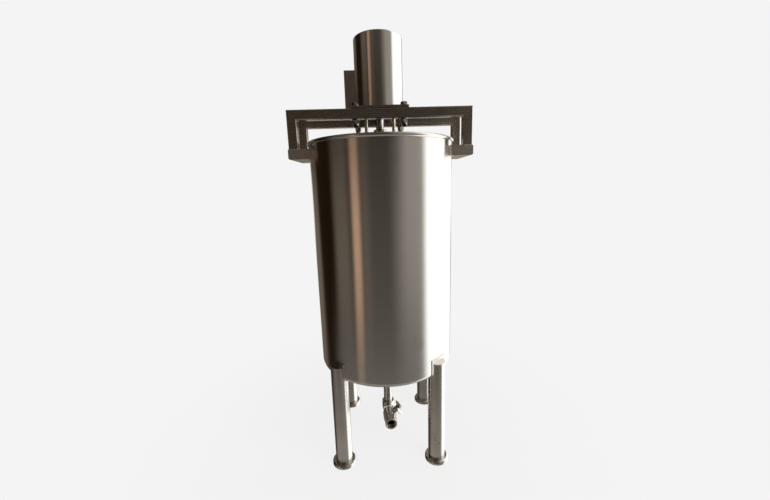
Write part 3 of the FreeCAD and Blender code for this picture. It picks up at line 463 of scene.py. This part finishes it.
def even_steps(line, step, closed):
    """The same line in steps of one length, in mm, with the outward directions blended."""
    if closed:
        line = line + line[:1]
    spans = [(b[0] - a[0]).length for a, b in zip(line, line[1:])]
    count = max(3, round(sum(spans) / step))
    even, i, passed = [], 0, 0.0
    for k in range(count if closed else count + 1):
        want = sum(spans) * k / count
        while i < len(spans) - 1 and want > passed + spans[i]:
            passed += spans[i]
            i += 1
        share = min(1.0, (want - passed) / spans[i])
        even.append([a.lerp(b, share) for a, b in zip(line[i], line[i + 1])])
    return even


def swept(line, section, closed=True, sizes=None):
    """Points and faces of a section, (across, out) in mm, carried along an even line."""
    points, faces = [], []
    count, sides = len(line), len(section)
    for i, (spot, outward) in enumerate(line):
        ahead = line[(i + 1) % count][0] if closed or i < count - 1 else spot
        behind = line[i - 1][0] if closed or i else spot
        along = (ahead - behind).normalized()
        across = along.cross(outward).normalized()
        out = across.cross(along)
        size = sizes[i] if sizes else 1.0
        points += [(spot + across * a * size + out * o * size) * MM for a, o in section]
    for i in range(count if closed else count - 1):
        for m in range(sides):
            a, b = i * sides + m, i * sides + (m + 1) % sides
            c, d = (i + 1) % count * sides + (m + 1) % sides, (i + 1) % count * sides + m
            faces.append((a, b, c, d))
    if not closed:
        faces += [tuple(range(sides)), tuple(range((count - 1) * sides, count * sides))]
    return points, faces


def joined(parts):
    """Several (points, faces) as one."""
    points, faces = [], []
    for more, rims in parts:
        faces += [tuple(i + len(points) for i in rim) for rim in rims]
        points += more
    return points, faces


def own_piece(name, parts, finish, body="root"):
    """A mesh that rides on a body, smooth but for its sharp edges."""
    points, faces = joined(parts)
    mesh = bpy.data.meshes.new(name)
    mesh.from_pydata(points, [], faces)
    shell = bmesh.new()
    shell.from_mesh(mesh)
    bmesh.ops.recalc_face_normals(shell, faces=shell.faces)
    for face in shell.faces:
        face.smooth = True
    for edge in shell.edges:
        edge.smooth = len(edge.link_faces) < 2 or edge.calc_face_angle() < SHARP
    shell.to_mesh(mesh)
    shell.free()
    mesh.materials.append(finish)
    piece = bpy.data.objects.new(name, mesh)
    scene.collection.objects.link(piece)
    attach(piece, body)
    return piece


def bead(line, width, height, closed=True, ripple=2.0, swell=0.06):
    """A weld bead, with a ripple every so many mm."""
    line = even_steps(line, ripple / RIPPLE_STEPS, closed)
    sizes = []
    for i in range(len(line)):
        if i % RIPPLE_STEPS == 0:
            dab = rng.uniform(0.4, 1.2) * swell
        sizes.append(1 + (dab, 0.0, -dab, 0.0)[i % RIPPLE_STEPS])
    turns = [math.tau * (k + 0.5) / BEAD_SIDES for k in range(BEAD_SIDES)]
    section = [(width / 2 * math.cos(a), height * math.sin(a)) for a in turns]
    return swept(line, section, closed, sizes)


print("sweep helpers ready")

# %% [markdown]
# ## Welds of the legs and the outlet
#
# A leg's top is cut to lie against the vessel, over a pad that spreads the load. The torch goes up one
# side, across the top and down the other, and then on along the curved underside. The line is where an
# upright cylinder meets the vessel's skin, and the pad's rim is the same line a little further out.
# The vessel's underside is a flat cone with a round knuckle at its edge. All sizes are in mm.

# %% The vessel's size and its underside
UP = Vector((0, 0, 1))
tank_radius = 252.0
knuckle_radius = 18.0
cone = math.radians(12)
leg_overlap = 52.0
leg_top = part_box("leg_front_left")[1].z / MM
knuckle_z = leg_top - leg_overlap + knuckle_radius
knuckle_r = tank_radius - knuckle_radius


def underside(radius, offset):
    """Height and outward direction of the vessel's underside at a radius, grown by offset."""
    bend = knuckle_radius + offset
    edge = knuckle_r + bend * math.sin(cone)
    if radius > edge:
        drop = math.sqrt(max(0.0, bend ** 2 - (radius - knuckle_r) ** 2))
        return knuckle_z - drop, ((radius - knuckle_r) / bend, -drop / bend)
    height = knuckle_z - bend * math.cos(cone) - (edge - radius) * math.tan(cone)
    return height, (math.sin(cone), -math.cos(cone))


print("the knuckle starts", round(knuckle_z, 1), "mm above the floor")

# %% Beads round the legs, the pads and the outlet pipe
leg_radius = 30.15
pad_thickness = 3.0
pad_margin = 7.0
pad_rise = 15.0
pipe_radius = 16.85
TOP_STEPS = 12
ROUND_STEPS = 40


def round_leg(leg, reach, offset, top):
    """The line where an upright cylinder about a leg meets the vessel, with its outward directions."""
    low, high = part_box(leg)
    middle = Vector(((low.x + high.x) / 2, (low.y + high.y) / 2, 0)) / MM
    away = middle.normalized()
    side = UP.cross(away)
    wall = tank_radius + offset
    gap = math.acos((wall ** 2 - middle.length_squared - reach ** 2) / (2 * middle.length * reach))
    edge = middle + reach * (math.cos(gap) * away + math.sin(gap) * side)
    swing = math.atan2(edge.dot(side), edge.dot(away))
    line = []
    for k in range(TOP_STEPS + 1):
        angle = swing * (1 - 2 * k / TOP_STEPS)
        out = math.cos(angle) * away + math.sin(angle) * side
        line.append([wall * out + UP * top, (out + UP).normalized()])
    for k in range(ROUND_STEPS + 1):
        angle = -gap - (math.tau - 2 * gap) * k / ROUND_STEPS
        out = math.cos(angle) * away + math.sin(angle) * side
        spot = middle + reach * out
        height, skin = underside(min(spot.length, wall), offset)
        skin = skin[0] * spot.normalized() + skin[1] * UP
        line.append([spot + UP * height, (out + skin).normalized()])
    return line


def level_ring(radius, height, lean, sides=48):
    """A level circle about the tank's axis, whose outward direction leans up or down."""
    turns = [math.tau * k / sides for k in range(sides)]
    outs = [Vector((math.cos(a), math.sin(a), 0)) for a in turns]
    return [[out * radius + UP * height, (out + UP * lean).normalized()] for out in outs]


LEGS = [name for name in NODES if name.startswith("leg_") and name != "leg_pads"]
own_piece("weld_legs", [bead(round_leg(leg, leg_radius, pad_thickness, leg_top), 4.5, 1.7) for leg in LEGS],
          weld_metal)
pad_lines = [round_leg(leg, leg_radius + pad_margin, 0.0, leg_top + pad_rise) for leg in LEGS]
own_piece("weld_pads", [bead(line, 3.4, 1.0) for line in pad_lines], weld_metal)
own_piece("weld_outlet", [bead(level_ring(pipe_radius, underside(pipe_radius, 0.0)[0], -1.0), 4.5, 1.8)],
          weld_metal)
print("welds on", len(LEGS), "legs and the outlet")

# %% [markdown]
# ## Welds of the bridge
#
# Each post stands on an ear inside a square bead. At the top corners the tubes are mitred, and there the
# weld was ground nearly flush, because a hand may rest on it. The ears meet the round shell, so their
# bead runs up the sides straight and follows the shell along the top and bottom.

# %% Beads on the posts, the mitres and the ears
tube_side = 31.75
tube_corner = 3.5
mitre_inset = 3.0
EAR_STEPS = 12


def tube_loop(middle):
    """A level square with round corners about a post, as points and level outward directions."""
    loop = []
    inset = tube_side / 2 - tube_corner
    for quarter in range(4):
        for part in range(4):
            angle = math.radians(quarter * 90 + part * 30)
            out = Vector((math.cos(angle), math.sin(angle), 0))
            sign = Vector(((1, -1, -1, 1)[quarter], (1, 1, -1, -1)[quarter], 0))
            loop.append([middle + sign * inset + out * tube_corner, out])
    return loop


def post_line(post):
    """The square round a post's foot, facing outward and up."""
    low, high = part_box(post)
    loop = tube_loop(Vector(((low.x + high.x) / 2, (low.y + high.y) / 2, low.z)) / MM)
    return [[spot, (out + UP).normalized()] for spot, out in loop]


def mitre_lines(post):
    """The slanting joint on the two upright faces of a corner, from its inner to its outer edge."""
    low, high = (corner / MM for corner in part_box(post))
    sign = 1 if low.x > 0 else -1
    outer = max(abs(low.x), abs(high.x))
    for y, facing in ((low.y, -1), (high.y, 1)):
        backs = (tube_side - mitre_inset, mitre_inset)
        ends = [Vector((sign * (outer - back), y, high.z - back)) for back in backs]
        yield [[end, Vector((0, facing, 0))] for end in ends]


def ear_line(ear):
    """Where an ear meets the shell: up, along the top, down and back along the bottom."""
    low, high = (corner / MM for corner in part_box(ear))
    side = 1 if high.x > 0 else -1
    line = []
    for level, lean in ((high.z, 1), (low.z, -1)):
        for k in range(EAR_STEPS + 1):
            y = lean * (low.y + (high.y - low.y) * k / EAR_STEPS)
            out = Vector((side * math.sqrt(tank_radius ** 2 - y ** 2), y, 0)) / tank_radius
            outer = UP * lean + Vector((0, math.copysign(1.0, y), 0)) * (k in (0, EAR_STEPS))
            line.append([out * tank_radius + UP * level, (out + outer).normalized()])
    return line


POSTS = [name for name in NODES if name.startswith("post_")]
own_piece("weld_posts", [bead(post_line(post), 4.0, 1.6) for post in POSTS], weld_metal)
own_piece("weld_mitres", [bead(line, 3.6, 0.2, closed=False, ripple=3.0)
                          for post in POSTS for line in mitre_lines(post)], weld_metal)
own_piece("weld_ears", [bead(ear_line(ear), 4.5, 1.8) for ear in ("ear_left", "ear_right")], weld_metal)
print("welds on", len(POSTS), "posts and both ears")

# %% [markdown]
# ## Dressed seams
#
# A shell is a sheet rolled into a tube, so it has one seam from top to bottom, planished and ground
# until it is only a faint band. The cover and the rim's bar have theirs too. All of them face the back,
# as a workshop would turn them.
# The bar itself is drawn afresh with finer sides, since a polished ring shows every facet of a coarse
# mesh.

# %% Seams of the shell, the cover and the rim
cover_radius = 82.7
BAR_SIDES = 32
bar_turns = [math.tau * k / BAR_SIDES for k in range(BAR_SIDES)]


def sideways(degrees):
    """A level direction, counted from the right and on over the back."""
    return Vector((math.cos(math.radians(degrees)), math.sin(math.radians(degrees)), 0))


def upright_seam(radius, angle, low, high, width):
    """A faint band up a shell, at an angle round the tank's axis."""
    out = sideways(angle)
    line = [[out * radius + UP * low, out], [out * radius + UP * high, out]]
    return bead(line, width, 0.22, closed=False, ripple=8.0, swell=0.04)


def bar_joint(ring_radius, height, bar_radius, angle):
    """A ring round the rim's bar where its two ends were joined."""
    away = sideways(angle)
    line = []
    for turn in bar_turns:
        out = math.cos(turn) * away + math.sin(turn) * UP
        line.append([away * ring_radius + UP * height + out * bar_radius, out])
    return bead(line, 4.5, 0.35)


cover_low, cover_high = (corner.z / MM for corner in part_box("motor_cover"))
rim_low, rim_high = (corner.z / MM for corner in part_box("rim_bead"))
rim_radius = (rim_high - rim_low) / 2
rim_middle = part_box("rim_bead")[1].x / MM - rim_radius
rim_height = (rim_high + rim_low) / 2
bar = [(rim_radius * math.cos(turn), rim_radius * math.sin(turn)) for turn in bar_turns]
rim_ring = level_ring(rim_middle, rim_height, 0.0, sides=256)
rim = own_piece("rim_bead_round", [swept(rim_ring, bar)], round_bar)
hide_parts("rim_bead")
own_piece("seam_shell", [upright_seam(tank_radius, 97, knuckle_z, rim_low - 1, 7.0)], seam_steel)
own_piece("seam_cover", [upright_seam(cover_radius, 52, cover_low, cover_high - 6, 5.0)], seam_steel)
own_piece("seam_rim", [bar_joint(rim_middle, rim_height, rim_radius, 104)], seam_steel)
print("seams: shell, cover and rim")

# %% [markdown]
# ## Thread and ribs
#
# The valve's mouth has a one-inch pipe thread with eleven turns to the inch. The frame has it as a
# plain bore at the thread's nominal size, so the ridges stand inward from that. The place and direction
# come from the frame's own record of the mouth.
# The cap of a cable gland is ribbed so that it can be tightened by hand.

# %% Thread in the valve's mouth
MOUNTS = {mount["name"]: mount for mount in frame["record"]["mounts"]}
INCH = 25.4
mouth = MOUNTS["outlet_thread"]
pitch = INCH / 11
thread_length = mouth["dims"]["length_mm"]
end_gap = 0.3 * pitch
TURN_STEPS = 40
flow = Vector(mouth["axis"])
across = flow.cross(UP).normalized()
above = across.cross(flow)
turns = (thread_length - 2 * end_gap) / pitch
helix = []
for k in range(round(turns * TURN_STEPS)):
    angle = math.tau * k / TURN_STEPS
    out = math.cos(angle) * across + math.sin(angle) * above
    back = thread_length - end_gap - k / TURN_STEPS * pitch
    helix.append([Vector(mouth["pos_m"]) / MM - flow * back + out * mouth["dims"]["r_mm"], -out])
ridge = [(-1.05, -0.1), (-0.18, 1.2), (0.18, 1.2), (1.05, -0.1)]
own_piece("valve_thread", [swept(helix, ridge, closed=False)], thread_steel)
print("thread of", round(turns, 1), "turns")

# %% Ribs on the caps of the cable glands
gland = MOUNTS["supply_cable_entry"]
gland_spacing = 38.4
cap_radius = 11.04
cap_ribs = 16
rib_places = (16.5, 11.0, 5.0)
rib_section = [(-0.8, -0.2), (-0.4, 0.5), (0.4, 0.5), (0.8, -0.2)]
ribs = []
for lift in (0.0, gland_spacing):
    middle = Vector(gland["pos_m"]) / MM + UP * lift
    for k in range(cap_ribs):
        angle = math.tau * k / cap_ribs
        out = Vector((0, math.cos(angle), math.sin(angle)))
        line = [[middle + out * cap_radius - Vector((back, 0, 0)), out] for back in rib_places]
        ribs.append(swept(line, rib_section, closed=False))
own_piece("gland_ribs", ribs, gland_nylon)
print("ribs:", len(ribs))

# %% [markdown]
# ## Socket heads
#
# The frame's cap screws are plain rounds, because only their size matters there. Where they can be seen,
# on the lid of the box and under the motor's plate, they get what a key needs: a hexagon socket in the
# head, with the outer edge broken.

# %% Screws with hexagon sockets
SCREW_SIDES = 24
SIXTH_TURN = 60
lid_head_radius = 3.4
cover_screw_circle = 75.7
motor_screw_circle = 50.0


def hexagon(key):
    """How far a hexagon, as wide as its key, lies from its middle at every side of the screw."""
    angles = [360 * k / SCREW_SIDES % SIXTH_TURN - SIXTH_TURN / 2 for k in range(SCREW_SIDES)]
    return [key / 2 / math.cos(math.radians(angle)) for angle in angles]


def socket_screw(spot, axis, head, height, shank, length, key):
    """One cap screw, its head standing out along the axis from the spot, sizes in mm."""
    side = axis.orthogonal().normalized()
    rise = axis.cross(side)
    chamfer = head * 0.12
    rings = [(shank, -length), (shank, 0), (head, 0), (head, height - chamfer), (head - chamfer, height)]
    rings = [([radius] * SCREW_SIDES, along) for radius, along in rings]
    rings += [(hexagon(key), height), (hexagon(key), height - key / 2)]
    points, faces = [], []
    for radii, along in rings:
        for k, radius in enumerate(radii):
            angle = math.tau * k / SCREW_SIDES
            out = math.cos(angle) * side + math.sin(angle) * rise
            points.append((spot + out * radius + axis * along) * MM)
    starts = [i * SCREW_SIDES for i in range(len(rings))]
    for low, high in zip(starts, starts[1:]):
        for k in range(SCREW_SIDES):
            n = (k + 1) % SCREW_SIDES
            faces.append((low + k, low + n, high + n, high + k))
    faces += [tuple(range(start, start + SCREW_SIDES)) for start in (starts[0], starts[-1])]
    return points, faces


def circle_spots(radius, angles, height):
    """Places on a level circle about the tank's axis."""
    return [sideways(angle) * radius + UP * height for angle in angles]


low, high = (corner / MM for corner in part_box("lid_screws"))
lid_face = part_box("box_lid")[1].y / MM
edges_x = (low.x + lid_head_radius, high.x - lid_head_radius)
edges_z = (low.z + lid_head_radius, high.z - lid_head_radius)
lid_spots = [Vector((x, lid_face, z)) for x in edges_x for z in edges_z]
back = Vector((0, 1, 0))
heads = [socket_screw(spot, back, lid_head_radius, 2.4, 2.0, 8.0, 2.5) for spot in lid_spots]
screws = own_piece("lid_screws_socket", heads, screw_steel)
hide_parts("lid_screws")

plate_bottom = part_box("motor_plate")[0].z / MM
cover_spots = circle_spots(cover_screw_circle, (-35, 35, 145, 215), plate_bottom)
heads = [socket_screw(spot, -UP, 4.25, 3.0, 2.5, 11.0, 4.0) for spot in cover_spots]
screws = own_piece("cover_screws_socket", heads, screw_steel)
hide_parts("cover_screws")
motor_spots = circle_spots(motor_screw_circle, (45, 135, 225, 315), plate_bottom)
heads = [socket_screw(spot, -UP, 5.1, 3.6, 3.0, 18.0, 5.0) for spot in motor_spots]
screws = own_piece("motor_screws_socket", heads, screw_steel)
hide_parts("motor_screws")
print("socket heads:", len(lid_spots) + len(cover_spots) + len(motor_spots))

# %% [markdown]
# ## The studio: floor and pale backdrop
#
# The floor is plain and pale and runs into a backdrop of the same tone. A lamp strong enough to make
# paper look that white would burn out the object, so the world shows its pale tone only where the
# camera, a mirror or glass looks at it, and lights the object softly from everywhere.
# The floor does the same, with a small share of real diffuse paint near the object, which keeps its
# shadow there. One large soft lamp at the front right adds a direction.

# %% The world and its soft light
scene.view_settings.view_transform = "Standard"
PAPER = linear("#F4F4F4")

world = bpy.data.worlds.new("studio")
scene.world = world
world.use_nodes = True
tree = world.node_tree
tree.nodes.clear()


def seen_directly(tree):
    """1 for rays from the camera, from a mirror or through glass, and 0 for soft light."""
    path = add(tree, "LightPath")
    both = add(tree, "Math", {0: path.outputs["Is Camera Ray"], 1: path.outputs["Is Glossy Ray"]},
               operation="MAXIMUM")
    every = add(tree, "Math", {0: both.outputs[0], 1: path.outputs["Is Transmission Ray"]},
                operation="MAXIMUM")
    return every.outputs[0]


soft_light = add(tree, "Background", {"Color": linear("#F1F0EE"), "Strength": 0.75})
paper = add(tree, "Background", {"Color": PAPER, "Strength": 1.0})
choice = add(tree, "MixShader", {0: seen_directly(tree), 1: soft_light.outputs[0], 2: paper.outputs[0]})
add(tree, "OutputWorld", {"Surface": choice.outputs[0]})
print("the world is set up")

# %% The floor
floor_size = 40.0
paint_share = 0.1
paint_near, paint_far = 0.3, 1.2
bpy.ops.mesh.primitive_plane_add(size=floor_size, location=(0, 0, 0))
floor = bpy.context.object
floor.name = "studio_floor"
floor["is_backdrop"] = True
floor.visible_glossy = False
floor_paper = bpy.data.materials.new("floor_paper")
floor_paper.use_nodes = True
tree = floor_paper.node_tree
tree.nodes.clear()
place = add(tree, "TexCoord")
distance = add(tree, "VectorMath", {0: place.outputs["Object"]}, operation="LENGTH")
near = add(tree, "MapRange", {"Value": distance.outputs["Value"], "From Min": paint_near,
                              "From Max": paint_far, "To Min": paint_share, "To Max": 0.0},
           interpolation_type="SMOOTHSTEP")
paint = add(tree, "BsdfDiffuse", {"Color": PAPER})
glow = add(tree, "Emission", {"Color": PAPER, "Strength": 1.0})
shaded = add(tree, "MixShader", {0: near.outputs["Result"], 1: glow.outputs[0], 2: paint.outputs[0]})
seen = add(tree, "MixShader", {0: seen_directly(tree), 1: paint.outputs[0], 2: shaded.outputs[0]})
add(tree, "OutputMaterial", {"Surface": seen.outputs[0]})
floor.data.materials.append(floor_paper)
print("floor:", floor_size, "m wide")

# %% One soft lamp
lamp_aim = Vector((0, 0, 0.8))
lamp = bpy.data.lights.new("soft_box", "AREA")
lamp.shape = "DISK"
lamp.size = 2.0
lamp.energy = 40.0
lamp.color = linear("#FFFDF8")[:3]
soft_box = bpy.data.objects.new("soft_box", lamp)
scene.collection.objects.link(soft_box)
soft_box.location = (2.2, -1.8, 2.6)
soft_box.rotation_euler = (lamp_aim - soft_box.location).to_track_quat("-Z", "Y").to_euler()
soft_box.visible_glossy = False
print("lamp:", lamp.energy, "W from a disk of", lamp.size, "m")

# %% [markdown]
# ## The room that the steel mirrors
#
# Polished metal shows its surroundings, and in an empty white studio it would be white. A photographer
# hangs black flags and reflectors round the object, just out of the picture. Here a great ball carries
# them. Only mirrors see it: the camera and the lamps look through it, and the floor in turn is left out
# of the mirrors.
# Each flag is one plain tone and has a place: from which angle to which round the room, from which height
# to which, and how many degrees its sides fade over. Angle 0 is behind the camera, 90 is on the right and
# -90 on the left. The angle jumps from 180 to -180 at the back, so the wall there takes two flags. Height
# is -1 straight down, 0 level and 1 straight up, and a flag that ends past those has no edge there. Later
# flags cover earlier ones.
# They only give the broad look: dark on the left, one warm strip, a dim middle and a bright right side.

# %% The flags and reflectors
SHADE, DIM, BROWN = "#181008", "#403C38", "#585048"
GREY, WOOD, PALE, WHITE = "#807C78", "#B09078", "#C0B8B0", "#FFFFFF"
FLAGS = (
    ("pale wall at the back", (-200, -152), (-0.12, 0.1), 6, PALE),
    ("the same, past 180 degrees", (150, 200), (-0.12, 0.1), 6, PALE),
    ("dim edge on the far left", (-152, -126), (-2.0, 2.0), 6, BROWN),
    ("dark flag on the left", (-126, -50), (-2.0, 2.0), 6, SHADE),
    ("dim strip in it", (-84, -54), (-2.0, 2.0), 8, BROWN),
    ("dim wall behind the camera", (-50, 22), (-2.0, 2.0), 16, DIM),
    ("warm strip", (-49, -36), (-0.5, 0.5), 4, WOOD),
    ("brown fade beside it", (-34, -22), (-0.5, 0.5), 8, BROWN),
    ("grey wall on the right", (24, 80), (-2.0, 2.0), 18, GREY),
    ("dark beam as high as the bridge", (-200, 30), (0.08, 0.3), 10, SHADE),
    ("floor", (-100, 200), (-2.0, -0.4), 12, DIM),
    ("floor close by", (-100, 200), (-2.0, -0.62), 12, GREY),
    ("window", (69, 150), (-0.9, 0.9), 8, WHITE),
)
HEIGHT_FADE = 0.1
ROOM_STRENGTH = 1.9
print("flags:", ", ".join(flag[0] for flag in FLAGS))

# %% The ball round the object that carries them
room_radius = 20.0
bpy.ops.mesh.primitive_uv_sphere_add(segments=64, ring_count=32, radius=room_radius, location=(0, 0, 0.7))
room = bpy.context.object
room.name = "studio_flags"
room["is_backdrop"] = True
room.visible_camera = False
room.visible_diffuse = False
room.visible_shadow = False
room.visible_transmission = False
room.visible_volume_scatter = False
room_light = bpy.data.materials.new("room_tones")
room_light.use_nodes = True
tree = room_light.node_tree
tree.nodes.clear()
place = add(tree, "TexCoord")
aim = add(tree, "VectorMath", {0: place.outputs["Object"]}, operation="NORMALIZE")
apart = add(tree, "SeparateXYZ", {0: aim.outputs[0]})
forward = add(tree, "Math", {0: apart.outputs["Y"], 1: -1.0}, operation="MULTIPLY")
turn = add(tree, "Math", {0: apart.outputs["X"], 1: forward.outputs[0]}, operation="ARCTAN2")
angle = add(tree, "Math", {0: turn.outputs[0]}, operation="DEGREES")


def between(value, low, high, soft):
    """1 where a value lies between two edges, with soft edges, and 0 elsewhere."""
    shares = []
    for edge, start, end in ((low, 0.0, 1.0), (high, 1.0, 0.0)):
        step = add(tree, "MapRange", {"Value": value, "From Min": edge - soft, "From Max": edge + soft,
                                      "To Min": start, "To Max": end}, interpolation_type="SMOOTHSTEP")
        shares.append(step.outputs["Result"])
    return add(tree, "Math", {0: shares[0], 1: shares[1]}, operation="MULTIPLY").outputs[0]


tones = linear(BROWN)
for name, (start, end), (low, high), fade, tone in FLAGS:
    round_share = between(angle.outputs[0], start, end, fade)
    high_share = between(apart.outputs["Z"], low, high, HEIGHT_FADE)
    share = add(tree, "Math", {0: round_share, 1: high_share}, operation="MULTIPLY")
    tones = blend_colours(tree, share.outputs[0], tones, linear(tone))
glow = add(tree, "Emission", {"Color": tones, "Strength": ROOM_STRENGTH})
add(tree, "OutputMaterial", {"Surface": glow.outputs[0]})
room.data.materials.append(room_light)
print("the ball is", room_radius, "m in radius")

# %% [markdown]
# ## The camera
#
# The picture was taken from a little over a metre away with a wide phone lens, held at chest height,
# tipped down and leaning slightly. Its place and lens were worked out from the tank's own outline. Depth
# of field stays off, so that the model can be looked at from every side.

# %% Camera
eye_point = Vector((-0.0210, -1.2537, 1.0143))
yaw = math.radians(1.2)
tip = math.radians(11.21)
lean = math.radians(1.67)
lens = bpy.data.cameras.new("camera")
lens.sensor_width = 36.0
lens.lens = 15.65
lens.clip_start = 0.05
lens.clip_end = 60.0
camera = bpy.data.objects.new("camera", lens)
scene.collection.objects.link(camera)
turned = (Matrix.Rotation(-yaw, 4, "Z") @ Matrix.Rotation(math.pi / 2 - tip, 4, "X")
          @ Matrix.Rotation(-lean, 4, "Z"))
camera.matrix_world = Matrix.Translation(eye_point) @ turned
scene.camera = camera
print("camera at", [round(v, 3) for v in eye_point], "looking along",
      [round(v, 3) for v in turned.to_3x3() @ Vector((0, 0, -1))])

# %% [markdown]
# ## Check the size and finish
#
# The box round everything that is drawn, with the floor and the room left out, is printed. What was
# added has to stay inside the frame's own box.

# %% Print the size of the visual box
low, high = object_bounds()
print("visual box:", [round(b - a, 4) for a, b in zip(low, high)], "m")
